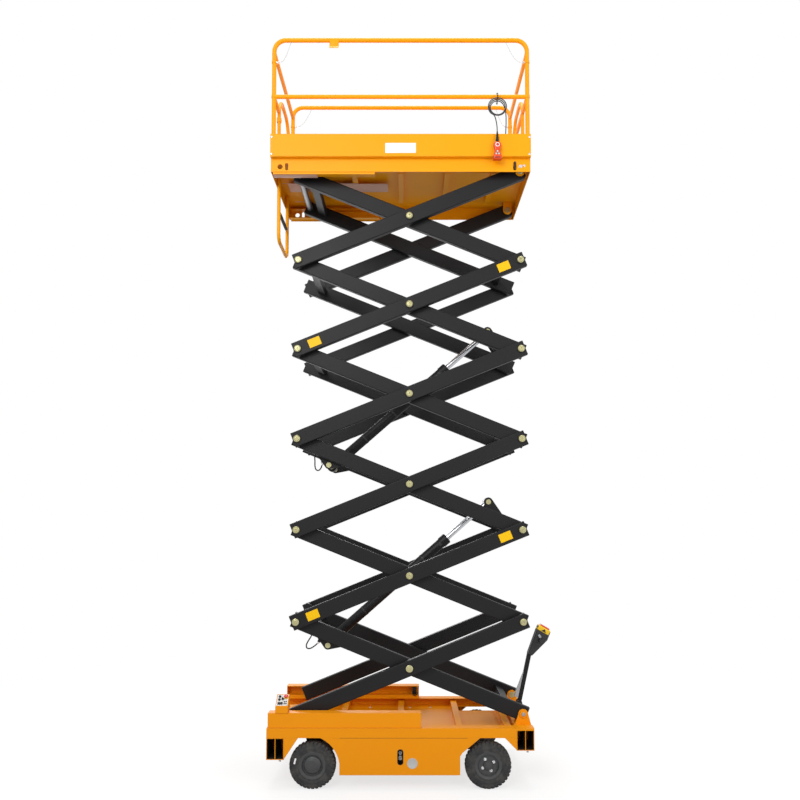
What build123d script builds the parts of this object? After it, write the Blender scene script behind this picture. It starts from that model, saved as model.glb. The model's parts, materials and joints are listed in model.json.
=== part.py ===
"""Walk-behind mobile scissor lift: six scissor stages, partly raised, on a four-wheeled chassis.

Frame: X runs along the machine towards the tiller, Y across it, Z up from the floor.
Every "station" is measured from the middle of the chassis, which stands at chassis_x.
"""

import os
from math import cos, hypot, radians, sin, sqrt, tan

from build123d import *

os.makedirs("parts", exist_ok=True)

# ---------------------------------------------------------------- driving dimensions, mm and degrees
plate = 6.0  # folded sheet
heavy_plate = 12.0  # ears and cylinder brackets
pin_clearance = 0.05  # radial, at every turning pin

machine_width = 1200.0
platform_length = 2420.0
platform_width = machine_width
chassis_length = 2390.0
chassis_width = machine_width

# Tiller: places in the machine's middle plane
tiller_station = 1150.0
tiller_pivot_z = 628.0
tiller_elbow = (1252.0, 1095.0)  # station, height of the stem's top
# corners of the head's side, from its foot up the front and down the back: station, height
tiller_head_outline = (
    (1274.0, 1080.0),
    (1424.0, 1228.0),
    (1458.0, 1312.0),
    (1344.0, 1378.0),
    (1318.0, 1322.0),
    (1234.0, 1098.0),
)

tiller_reach = max(place for place, height in tiller_head_outline)
chassis_x = (platform_length / 2 - tiller_reach) / 2  # centres the whole length on the origin

# Wheels
wheel_radius = 208.0
wheel_width = 105.0
wheel_y = machine_width / 2 - 65.0
wheel_station = 786.0
bead_radius = 104.0
hub_radius = 46.0
axle_radius = 20.0
kingpin_y = wheel_y - 105.0
kingpin_radius = 18.0

# Chassis
rail_bottom, rail_top = 457.0, 543.0
rail_flange = 100.0
track_length_left, track_length_right = 1186.0, 185.0  # stations of the roller track's ends
track_top = 674.0
track_outer_y = machine_width / 2 - 10.0
track_inner_y = track_outer_y - 100.0
skirt_bottom = 132.0
belly_left, belly_right = -480.0, 460.0
sleeve_length = 350.0  # depth of the outrigger sleeves, across the machine
sleeve_run = 157.0  # both tubes of a corner, along the machine
left_sleeve_z = (266.0, 457.0)
right_sleeve_z = (347.0, 527.0)

# Scissor
stages = 6
arm_pitch = 2250.0  # pin to pin
rest_angle = 22.0
arm_height = 140.0
arm_width = 60.0
arm_corner = 8.0
arm_overhang = 40.0  # past the end pins
top_arm_chamfer = 18.0  # on the highest outer arms' right ends, which turn inside the platform
inner_arm_y = machine_width / 2 - 224.0
arm_gap = 6.0
pin_radius = 31.0
pin_end = 12.0  # each pin stands this far past the outer arm
pivot_station = 1125.0
pivot_z = 622.0
roller_radius = 42.0
roller_width = 45.0
roller_gap = 0.3
cross_tube_run = 80.0
cross_tube_height = 50.0
cross_tube_inset = 150.0  # from an end pin, along the arm

# Lift cylinders: lower pin under one inner frame, eye over the inner frame two stages higher
cylinder_stages = (1, 3)  # the stages whose inner frames carry a cylinder's lower pin
cylinder_inset = 350.0  # from an end pin, along the arm
foot_offset = 112.0  # of the lower pin, below the arm's centre line
eye_offset = 145.0  # of the rod's eye, above the arm's centre line
barrel_radius = 47.5
barrel_length = 1500.0  # lower pin to the gland's face
gland_radius = 54.0
gland_length = 70.0
rod_radius = 26.0
rod_length = 1400.0
rod_bore_depth = 1330.0
cylinder_pin_radius = 25.0
eye_radius = 44.0
eye_half_width = 54.0
bracket_inner_y = 60.0  # of the plates that hold the rod's eye
foot_bracket_gap = 5.0  # from the lower pin's plates to the inner faces of the arms
foot_bracket_run = 270.0  # of each such plate where it meets its arm

# Platform, heights above the top pins
band_bottom, floor_under = -40.0, 87.0
band_inset_y, band_inset_x = 40.0, 0.0
toe_board_top = 302.0
mid_rail_z, top_rail_z = 670.0, 1215.0
rail_tube_radius = 20.0
rail_bend = 110.0
hoop_half_width = 288.0
hoop_top_z = 850.0
hoop_bend = 200.0
ladder_half_width = 253.0
ladder_bottom_z = -575.0
ladder_tube_radius = 17.0
ladder_bend = 80.0

# ---------------------------------------------------------------- places worked out from them
lean = radians(rest_angle)
arm_length = arm_pitch + 2 * arm_overhang
outer_arm_y = inner_arm_y + arm_width + arm_gap
inner_face_y = inner_arm_y - arm_width / 2
inner_back_y = inner_arm_y + arm_width / 2
outer_face_y = outer_arm_y + arm_width / 2
pin_tip_y = outer_face_y + pin_end
stage_rise = arm_pitch * sin(lean)
pivot_x = chassis_x + pivot_station
slider_x = pivot_x - arm_pitch * cos(lean)
middle_x = (pivot_x + slider_x) / 2
cross_tube_place = arm_pitch / 2 - cross_tube_inset
cylinder_place = arm_pitch / 2 - cylinder_inset
half_length = chassis_length / 2
half_width = chassis_width / 2


def station(value):
    """X of a station measured from the middle of the chassis."""
    return chassis_x + value


def level(count):
    """Height of the end pins after so many stages."""
    return pivot_z + count * stage_rise


def falling_plane(stage):
    """Middle of an inner frame: X up its arms to the left end, Z square to them."""
    return Plane(
        origin=(middle_x, 0, level(stage - 0.5)),
        x_dir=(-cos(lean), 0, sin(lean)),
        z_dir=(sin(lean), 0, cos(lean)),
    )


def rising_plane(stage):
    """Middle of a pair of outer arms: X up the arms to the right end, Z square to them."""
    return Plane(
        origin=(middle_x, 0, level(stage - 0.5)),
        x_dir=(cos(lean), 0, sin(lean)),
        z_dir=(-sin(lean), 0, cos(lean)),
    )


def side_plane(frame_plane):
    """The machine's middle plane, drawn on with the X and Z of an arm's plane; its normal is +Y."""
    return Plane(origin=frame_plane.origin, x_dir=frame_plane.x_dir, z_dir=(0, 1, 0))


def save(piece, name):
    """Label a finished piece and write its file."""
    piece.label = name
    export_step(piece, f"parts/{name}.step")


def cord_tube(points, radius):
    """A tube of straight runs joined by tangent arcs, each as large as its two runs allow."""
    corners = [Vector(*point) for point in points]
    bends = []
    for before, corner, after in zip(corners, corners[1:], corners[2:]):
        half_turn = radians((corner - before).get_angle(after - corner)) / 2
        shorter = min((corner - before).length, (after - corner).length)
        bends.append(0.45 * shorter / tan(half_turn))
    print("cord bends, mm:", [round(bend) for bend in bends])
    with BuildPart() as tube:
        with BuildLine() as route:
            FilletPolyline(*corners, radius=bends)
        with BuildSketch(Plane(origin=corners[0], z_dir=corners[1] - corners[0])):
            Circle(radius)
        sweep(path=route.wire())
    print("cord length, mm:", round(route.wire().length))
    return tube.part


top_z = level(stages)

# ================================================================ chassis
channel_profile = [
    (-half_width, rail_bottom),
    (-half_width, rail_top),
    (-half_width + rail_flange, rail_top),
    (-half_width + rail_flange, rail_top - plate),
    (-half_width + plate, rail_top - plate),
    (-half_width + plate, rail_bottom + plate),
    (-half_width + rail_flange, rail_bottom + plate),
    (-half_width + rail_flange, rail_bottom),
]
rail_right_end = half_length - sleeve_run
cross_member_height = 55.0
cross_members = (-980.0, -560.0, 0.0, 540.0, 985.0)  # stations
deck_half_width = 330.0
deck_notch = 520.0  # station where the deck narrows beside the steered wheels
deck_right_end = 1030.0
sleeve_cap = 6.0  # plate over the right-hand sleeves, below the pivot ears
column_radius = 25.0
end_beam_half_width = half_width - sleeve_length
ear_half_base, ear_radius = 75.0, 45.0
ear_gap = 6.0

with BuildPart() as chassis_frame:
    # side channels, open inwards
    with BuildSketch(Plane.YZ.offset(station(-half_length))):
        with BuildLine():
            Polyline(channel_profile, close=True)
        make_face()
    extrude(amount=half_length + rail_right_end)
    mirror(about=Plane.XZ)
    # cross members on the deck plate
    for place in cross_members:
        with Locations((station(place), 0, rail_bottom + plate)):
            Box(
                60,
                chassis_width - 2 * plate,
                cross_member_height,
                align=(Align.CENTER, Align.CENTER, Align.MIN),
            )
    deck_edge_y = half_width - rail_flange
    with BuildSketch(Plane.XY.offset(rail_bottom)):
        with BuildLine():
            Polyline(
                (station(-rail_right_end), -deck_edge_y),
                (station(deck_notch), -deck_edge_y),
                (station(deck_notch), -deck_half_width),
                (station(deck_right_end), -deck_half_width),
                (station(deck_right_end), deck_half_width),
                (station(deck_notch), deck_half_width),
                (station(deck_notch), deck_edge_y),
                (station(-rail_right_end), deck_edge_y),
                close=True,
            )
        make_face()
    extrude(amount=plate)
    # end beams between the outrigger sleeves, and the top plate over the right-hand sleeves
    for end_station, beam_top in ((-half_length, rail_top), (rail_right_end, right_sleeve_z[1])):
        with Locations((station(end_station), 0, rail_bottom)):
            Box(
                sleeve_run,
                2 * end_beam_half_width,
                beam_top - rail_bottom,
                align=(Align.MIN, Align.CENTER, Align.MIN),
            )
    cap_top = right_sleeve_z[1] + sleeve_cap
    with Locations((station(rail_right_end), 0, right_sleeve_z[1])):
        Box(
            sleeve_run,
            chassis_width,
            sleeve_cap,
            align=(Align.MIN, Align.CENTER, Align.MIN),
        )
        with GridLocations(0, chassis_width - rail_flange, 1, 2):
            Box(
                sleeve_run,
                rail_flange,
                rail_top - right_sleeve_z[1],
                align=(Align.MIN, Align.CENTER, Align.MIN),
            )
    # pivot ears each side of the lowest inner arms
    ear_faces = (inner_face_y - ear_gap - heavy_plate, inner_back_y + ear_gap)
    for ear_y in (*ear_faces, *(-face - heavy_plate for face in ear_faces)):
        with BuildSketch(Plane.XZ.offset(-ear_y - heavy_plate)):
            with BuildLine():
                Polyline(
                    (pivot_x - ear_half_base, cap_top),
                    (pivot_x - ear_radius, pivot_z),
                    (pivot_x + ear_radius, pivot_z),
                    (station(half_length), cap_top),
                    close=True,
                )
            make_face()
            with Locations((pivot_x, pivot_z)):
                Circle(ear_radius)
                Circle(pin_radius + pin_clearance, mode=Mode.SUBTRACT)
        extrude(amount=heavy_plate)
    # bore for the steering column
    with Locations((station(tiller_station), 0, cap_top)):
        Hole(column_radius + pin_clearance, depth=cap_top - rail_bottom)
save(chassis_frame.part, "chassis_frame")

# ---- roller tracks: open channels standing on a box section
track_lip = 8.0
track_floor = pivot_z - roller_radius - roller_gap
with BuildPart() as roller_tracks:
    with BuildSketch(Plane.YZ.offset(station(-track_length_left))):
        track_middle_y = (track_inner_y + track_outer_y) / 2
        with Locations((-track_middle_y, (rail_top + track_top) / 2)):
            Rectangle(track_outer_y - track_inner_y, track_top - rail_top)
        # the roller's way, open inwards
        with Locations((-track_outer_y + plate, track_floor)):
            Rectangle(
                track_outer_y - track_inner_y,
                track_top - track_lip - track_floor,
                align=(Align.MIN, Align.MIN),
                mode=Mode.SUBTRACT,
            )
        # the hollow below it
        with Locations((-track_middle_y, rail_top + plate)):
            Rectangle(
                track_outer_y - track_inner_y - 2 * plate,
                track_floor - track_lip - rail_top - plate,
                align=(Align.CENTER, Align.MIN),
                mode=Mode.SUBTRACT,
            )
    extrude(amount=track_length_left + track_length_right)
    with Locations((station(-track_length_left), -track_middle_y, rail_top)):
        Box(
            plate,
            track_outer_y - track_inner_y,
            track_top - rail_top,
            align=(Align.MIN, Align.CENTER, Align.MIN),
        )
    mirror(about=Plane.XZ)
save(roller_tracks.part, "roller_tracks")

# ---- side skirts with the wheel arches, and the slot for the charging sockets
arch_gap, arch_shift, arch_drop = 82.0, 43.0, 18.0  # from the tyre, leftwards, below the wheel's centre
arch_radius = wheel_radius + arch_gap
arch_centre = (-wheel_station - arch_shift, wheel_radius - arch_drop)  # of the round left-hand arch
skirt_left, skirt_right = -542.0, 533.0
arch_top_station = arch_centre[0] + sqrt(arch_radius**2 - (rail_bottom - arch_centre[1]) ** 2)
arch_foot_z = arch_centre[1] + sqrt(arch_radius**2 - (skirt_left - arch_centre[0]) ** 2)
arch_middle = radians(40)
socket_slot = (50.0, 135.0)
socket_place = (0.0, 290.0)  # station, height
with BuildPart() as side_skirts:
    with BuildSketch(Plane.XZ.offset(half_width - plate)):
        with BuildLine():
            Polyline(
                (station(skirt_left), arch_foot_z),
                (station(skirt_left), skirt_bottom),
                (station(skirt_right), skirt_bottom),
                (station(skirt_right), 295),
                (station(skirt_right + 21), 327),
                (station(skirt_right + 131), 417),
                (station(skirt_right + 180), rail_bottom),
                (station(arch_top_station), rail_bottom),
            )
            ThreePointArc(
                (station(arch_top_station), rail_bottom),
                (
                    station(arch_centre[0] + arch_radius * cos(arch_middle)),
                    arch_centre[1] + arch_radius * sin(arch_middle),
                ),
                (station(skirt_left), arch_foot_z),
            )
        make_face()
        with Locations((station(socket_place[0]), socket_place[1])):
            SlotOverall(socket_slot[1], socket_slot[0], rotation=90, mode=Mode.SUBTRACT)
    extrude(amount=plate)
    mirror(about=Plane.XZ)
save(side_skirts.part, "side_skirts")

# ---- belly pan: floor and end walls between the skirts
with BuildPart() as belly_pan:
    with BuildSketch(Plane.XZ.offset(-half_width + plate)):
        with BuildLine():
            Polyline(
                (station(belly_left), rail_bottom),
                (station(belly_left), skirt_bottom),
                (station(belly_right), skirt_bottom),
                (station(belly_right), rail_bottom),
                (station(belly_right) - plate, rail_bottom),
                (station(belly_right) - plate, skirt_bottom + plate),
                (station(belly_left) + plate, skirt_bottom + plate),
                (station(belly_left) + plate, rail_bottom),
                close=True,
            )
        make_face()
    extrude(amount=chassis_width - 2 * plate)
save(belly_pan.part, "belly_pan")

# ---- batteries, pump and tank: one plain block
power_pack_size = (880.0, 760.0, 290.0)
with BuildPart() as power_pack:
    with Locations((station((belly_left + belly_right) / 2), 0, skirt_bottom + plate)):
        Box(*power_pack_size, align=(Align.CENTER, Align.CENTER, Align.MIN))
save(power_pack.part, "power_pack")

# ---- outrigger sleeves: two tubes side by side at each corner, with a gusset to the rail
sleeve_tube_run = (sleeve_run - 3 * plate) / 2
gusset_run = (126.0, 105.0)
# columns: end of the machine, bottom, top, gusset outline from the sleeve to the rail (station, height)
sleeve_table = (
    (
        -1,
        *left_sleeve_z,
        (
            (-rail_right_end, rail_bottom),
            (-rail_right_end + gusset_run[0], rail_bottom),
            (-rail_right_end, left_sleeve_z[0] + 4),
        ),
    ),
    (
        1,
        *right_sleeve_z,
        (
            (rail_right_end, rail_bottom),
            (rail_right_end - gusset_run[1], rail_bottom),
            (rail_right_end, right_sleeve_z[0] + 5),
        ),
    ),
)
with BuildPart() as outrigger_sleeves:
    for end, bottom, top, gusset in sleeve_table:
        sleeve_middle = end * (half_length - sleeve_run / 2)
        with BuildSketch(Plane.XZ.offset(end_beam_half_width)):
            with Locations((station(sleeve_middle), (bottom + top) / 2)):
                Rectangle(sleeve_run, top - bottom)
        extrude(amount=sleeve_length)
        with BuildSketch(Plane.XZ.offset(end_beam_half_width + plate)):
            with Locations((station(sleeve_middle), (bottom + top) / 2)):
                with GridLocations(sleeve_tube_run + plate, 0, 2, 1):
                    Rectangle(sleeve_tube_run, top - bottom - 2 * plate)
        extrude(amount=sleeve_length - plate, mode=Mode.SUBTRACT)
        with BuildSketch(Plane.XZ.offset(half_width - plate)):
            with BuildLine():
                Polyline([(station(place), height) for place, height in gusset], close=True)
            make_face()
        extrude(amount=plate)
    mirror(about=Plane.XZ)
save(outrigger_sleeves.part, "outrigger_sleeves")

# ---- lower control box on the near track
control_run = (-1118.0, -1005.0)
control_front_top, control_back_top = 60.0, 145.0  # above the track
with BuildPart() as lower_controls:
    with BuildSketch(Plane.YZ.offset(station(control_run[0]))):
        with BuildLine():
            Polyline(
                (-track_outer_y - plate, track_top),
                (-track_outer_y - plate, track_top + control_front_top),
                (-track_inner_y - 3, track_top + control_back_top),
                (-track_inner_y - 3, track_top),
                close=True,
            )
        make_face()
    extrude(amount=control_run[1] - control_run[0])
save(lower_controls.part, "lower_controls")

# ---- axles: fixed shaft with hangers on the left, steering beam with bosses on the right
hanger_y = 400.0
beam_top, beam_bottom = 372.0, 296.0
beam_half_run = 42.0
boss_radius = 32.0
stub_end_y = wheel_y + 34
with BuildPart() as axles:
    with Locations((station(-wheel_station), 0, wheel_radius)):
        Cylinder(axle_radius, 2 * stub_end_y, rotation=(90, 0, 0))
    for side in (-1, 1):
        with BuildSketch(Plane.XZ.offset(-side * hanger_y - heavy_plate / 2)):
            with BuildLine():
                Polyline(
                    (station(-wheel_station - 90), rail_bottom),
                    (station(-wheel_station - 38), wheel_radius - 30),
                    (station(-wheel_station + 38), wheel_radius - 30),
                    (station(-wheel_station + 90), rail_bottom),
                    close=True,
                )
            make_face()
        extrude(amount=heavy_plate)
        with Locations((station(wheel_station), side * kingpin_y, (beam_top + beam_bottom) / 2)):
            Cylinder(boss_radius, beam_top - beam_bottom)
        with Locations((station(wheel_station), side * 250, beam_top)):
            Box(
                60,
                heavy_plate,
                rail_bottom - beam_top,
                align=(Align.CENTER, Align.CENTER, Align.MIN),
            )
    with Locations((station(wheel_station), 0, (beam_top + beam_bottom) / 2)):
        Box(2 * beam_half_run, 2 * (kingpin_y - boss_radius / 2), beam_top - beam_bottom)
    for side in (-1, 1):
        with Locations((station(wheel_station), side * kingpin_y, beam_top)):
            Hole(kingpin_radius + pin_clearance, depth=beam_top - beam_bottom)
save(axles.part, "axles")

# ================================================================ steering
arm_reach = 130.0  # of each steering arm, towards the left
steer_arm_z = (392.0, 404.0)
link_z = (405.0, 417.0)
ball_radius = 14.0
for side, name in ((-1, "steer_knuckle_near"), (1, "steer_knuckle_far")):
    with BuildPart() as knuckle:
        with Locations((station(wheel_station), side * kingpin_y, 0)):
            # kingpin, and the collars below and above the beam's boss
            with Locations((0, 0, wheel_radius)):
                Cylinder(
                    kingpin_radius,
                    steer_arm_z[1] - wheel_radius,
                    align=(Align.CENTER, Align.CENTER, Align.MIN),
                )
            with Locations((0, 0, wheel_radius - 28)):
                Cylinder(
                    30,
                    beam_bottom - 1 - wheel_radius + 28,
                    align=(Align.CENTER, Align.CENTER, Align.MIN),
                )
        # stub axle
        with BuildSketch(Plane.XZ.offset(-side * kingpin_y)):
            with Locations((station(wheel_station), wheel_radius)):
                Circle(axle_radius)
        extrude(amount=-side * (stub_end_y - kingpin_y))
        # steering arm
        with BuildSketch(Plane.XY.offset(steer_arm_z[0])):
            with Locations((station(wheel_station), side * kingpin_y)):
                Circle(28)
            with Locations((station(wheel_station - arm_reach), side * kingpin_y)):
                Circle(18)
            make_hull()
        extrude(amount=steer_arm_z[1] - steer_arm_z[0])
        with BuildSketch(Plane.XY.offset(steer_arm_z[1])):
            with Locations((station(wheel_station - arm_reach), side * kingpin_y)):
                Circle(8)
        extrude(amount=link_z[1] - steer_arm_z[1])
    save(knuckle.part, name)

# ---- T-shaped link from the tiller's arm to both steering arms
link_width = 34.0
with BuildPart() as steering_link:
    with BuildSketch(Plane.XY.offset(link_z[0])):
        with Locations((station(wheel_station - arm_reach), 0)):
            SlotCenterToCenter(2 * kingpin_y, link_width, rotation=90)
        link_run = (wheel_station - arm_reach, tiller_station - arm_reach)
        with Locations((station(sum(link_run) / 2), 0)):
            SlotCenterToCenter(link_run[1] - link_run[0], link_width)
        with Locations(
            (station(link_run[0]), -kingpin_y),
            (station(link_run[0]), kingpin_y),
            (station(link_run[1]), 0),
        ):
            Circle(8 + pin_clearance, mode=Mode.SUBTRACT)
    extrude(amount=link_z[1] - link_z[0])
save(steering_link.part, "steering_link")

# ---- turret: column through the end beam, its arm below, and the tiller's fork above
fork_inner = 24.0
with BuildPart() as tiller_turret:
    with Locations((station(tiller_station), 0, steer_arm_z[0])):
        Cylinder(
            column_radius,
            cap_top + 1 - steer_arm_z[0],
            align=(Align.CENTER, Align.CENTER, Align.MIN),
        )
    with Locations((station(tiller_station), 0, cap_top + 1)):
        Cylinder(52, 30, align=(Align.CENTER, Align.CENTER, Align.MIN))
    with BuildSketch(Plane.XY.offset(steer_arm_z[0])):
        with Locations((station(tiller_station), 0)):
            Circle(34)
        with Locations((station(tiller_station - arm_reach), 0)):
            Circle(18)
        make_hull()
    extrude(amount=steer_arm_z[1] - steer_arm_z[0])
    with BuildSketch(Plane.XY.offset(steer_arm_z[1])):
        with Locations((station(tiller_station - arm_reach), 0)):
            Circle(8)
    extrude(amount=link_z[1] - steer_arm_z[1])
    for face_y in (fork_inner, -fork_inner - heavy_plate):
        with BuildSketch(Plane.XZ.offset(-face_y - heavy_plate)):
            with Locations((station(tiller_station), cap_top + 20)):
                Rectangle(76, 10)
            with Locations((station(tiller_station), tiller_pivot_z)):
                Circle(26)
            make_hull()
        extrude(amount=heavy_plate)
    with Locations((station(tiller_station), 0, tiller_pivot_z)):
        Cylinder(10, 2 * (fork_inner + heavy_plate) + 8, rotation=(90, 0, 0))
save(tiller_turret.part, "tiller_turret")

# ---- stem: a square tube on the fork's pin, with a gas spring cover on its inner side
stem_width = 40.0
stem_run = tiller_elbow[0] - tiller_station
stem_rise = tiller_elbow[1] - tiller_pivot_z
stem_length = hypot(stem_run, stem_rise)
stem_plane = Plane(
    origin=(station(tiller_station), 0, tiller_pivot_z),
    x_dir=(stem_rise / stem_length, 0, -stem_run / stem_length),
    z_dir=(stem_run / stem_length, 0, stem_rise / stem_length),
)
stem_side = Plane(origin=stem_plane.origin, x_dir=stem_plane.x_dir, z_dir=(0, -1, 0))
with BuildPart(stem_plane) as tiller_stem:
    Box(stem_width, stem_width, stem_length, align=(Align.CENTER, Align.CENTER, Align.MIN))
    fillet(tiller_stem.edges().filter_by(Axis(stem_plane.origin, stem_plane.z_dir)), 6)
    Cylinder(stem_width / 2 + 4, 2 * fork_inner - 4, rotation=(90, 0, 0))
    Cylinder(
        10 + pin_clearance, 2 * fork_inner + 4, rotation=(90, 0, 0), mode=Mode.SUBTRACT
    )
save(tiller_stem.part, "tiller_stem")

with BuildPart() as tiller_cover:
    with BuildSketch(stem_side.offset(-15)):
        with BuildLine():
            Polyline(
                (-stem_width / 2, 40),
                (-stem_width / 2 - 36, 48),
                (-stem_width / 2 - 36, 90),
                (-stem_width / 2, 300),
                close=True,
            )
        make_face()
    extrude(amount=30)
save(tiller_cover.part, "tiller_cover")

# ---- head: a teardrop housing with a hand grip across it
head_half_width = 45.0
grip_place = (1352.0, 1232.0)  # station, height
grip_radius, grip_half_length = 17.0, 135.0
with BuildPart() as tiller_head:
    with BuildSketch(Plane.XZ.offset(-head_half_width)):
        with BuildLine():
            Polyline([(station(place), height) for place, height in tiller_head_outline], close=True)
        make_face()
        fillet(vertices().sort_by(Axis.Y)[2:], 14)
    extrude(amount=2 * head_half_width)
    fillet(edges().filter_by(Axis.Y, reverse=True).group_by(Axis.Y)[0], 9)
    fillet(edges().filter_by(Axis.Y, reverse=True).group_by(Axis.Y)[-1], 9)
    with Locations((station(grip_place[0]), 0, grip_place[1])):
        Cylinder(grip_radius, 2 * grip_half_length, rotation=(90, 0, 0))
    add(tiller_stem.part, mode=Mode.SUBTRACT)
save(tiller_head.part, "tiller_head")

# ================================================================ wheels
# columns: name, end of the machine, side
wheel_table = (
    ("left_near", -1, -1),
    ("left_far", -1, 1),
    ("right_near", 1, -1),
    ("right_far", 1, 1),
)
half_tyre = wheel_width / 2
bead_half, flange_half = 43.0, 47.0
flange_radius = bead_radius + 14
hub_inner, hub_outer = -38.0, 40.0
# one side of the tyre's section, from the bead to the tread: distance from its middle, radius
tyre_wall = (
    (bead_half, bead_radius),
    (flange_half, flange_radius),
    (half_tyre, wheel_radius - 50),
    (half_tyre - 8, wheel_radius - 12),
    (half_tyre - 26, wheel_radius),
)
for name, end, side in wheel_table:
    wheel_plane = Plane(
        origin=(station(end * wheel_station), side * wheel_y, wheel_radius),
        x_dir=(0, side, 0),
        z_dir=(1, 0, 0),
    )
    wheel_axis = Axis(wheel_plane.origin, (0, 1, 0))
    # In this plane X points outwards and -Y (down) or +Y is the radius
    down = -1 if wheel_plane.y_dir.Z > 0 else 1
    with BuildPart() as tyre:
        with BuildSketch(wheel_plane):
            with BuildLine():
                wall = [(across, down * radius) for across, radius in tyre_wall]
                Polyline(*wall, *[(-across, height) for across, height in reversed(wall)], close=True)
            make_face()
        revolve(axis=wheel_axis)
    save(tyre.part, f"tyre_{name}")

    steered = end > 0
    with BuildPart() as rim:
        with BuildSketch(wheel_plane):
            with BuildLine():
                Polyline(
                    (hub_inner, down * (axle_radius + pin_clearance)),
                    (hub_inner, down * hub_radius),
                    (12, down * hub_radius),
                    (12, down * (bead_radius - 8)),
                    (-44, down * (bead_radius - 8)),
                    (-flange_half - 2, down * (flange_radius + 2)),
                    (-flange_half, down * flange_radius),
                    (-bead_half, down * bead_radius),
                    (bead_half, down * bead_radius),
                    (flange_half, down * flange_radius),
                    (flange_half + 2, down * (flange_radius + 2)),
                    (44, down * (bead_radius - 8)),
                    (22, down * (bead_radius - 12)),
                    (22, down * hub_radius),
                    (hub_outer, down * (hub_radius - 8)),
                    (hub_outer, 0),
                    (hub_outer - 5, 0),
                    (hub_outer - 5, down * (axle_radius + pin_clearance)),
                    close=True,
                )
            make_face()
        revolve(axis=wheel_axis)
    save(rim.part, f"rim_{name}")

# ================================================================ scissor
foot_bracket_radius = 38.0
hose_radius = 6.0
hose_port = (28.0, 24.0, 24.0)
hose_y = inner_face_y - foot_bracket_gap - heavy_plate - hose_port[1] / 2
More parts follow.
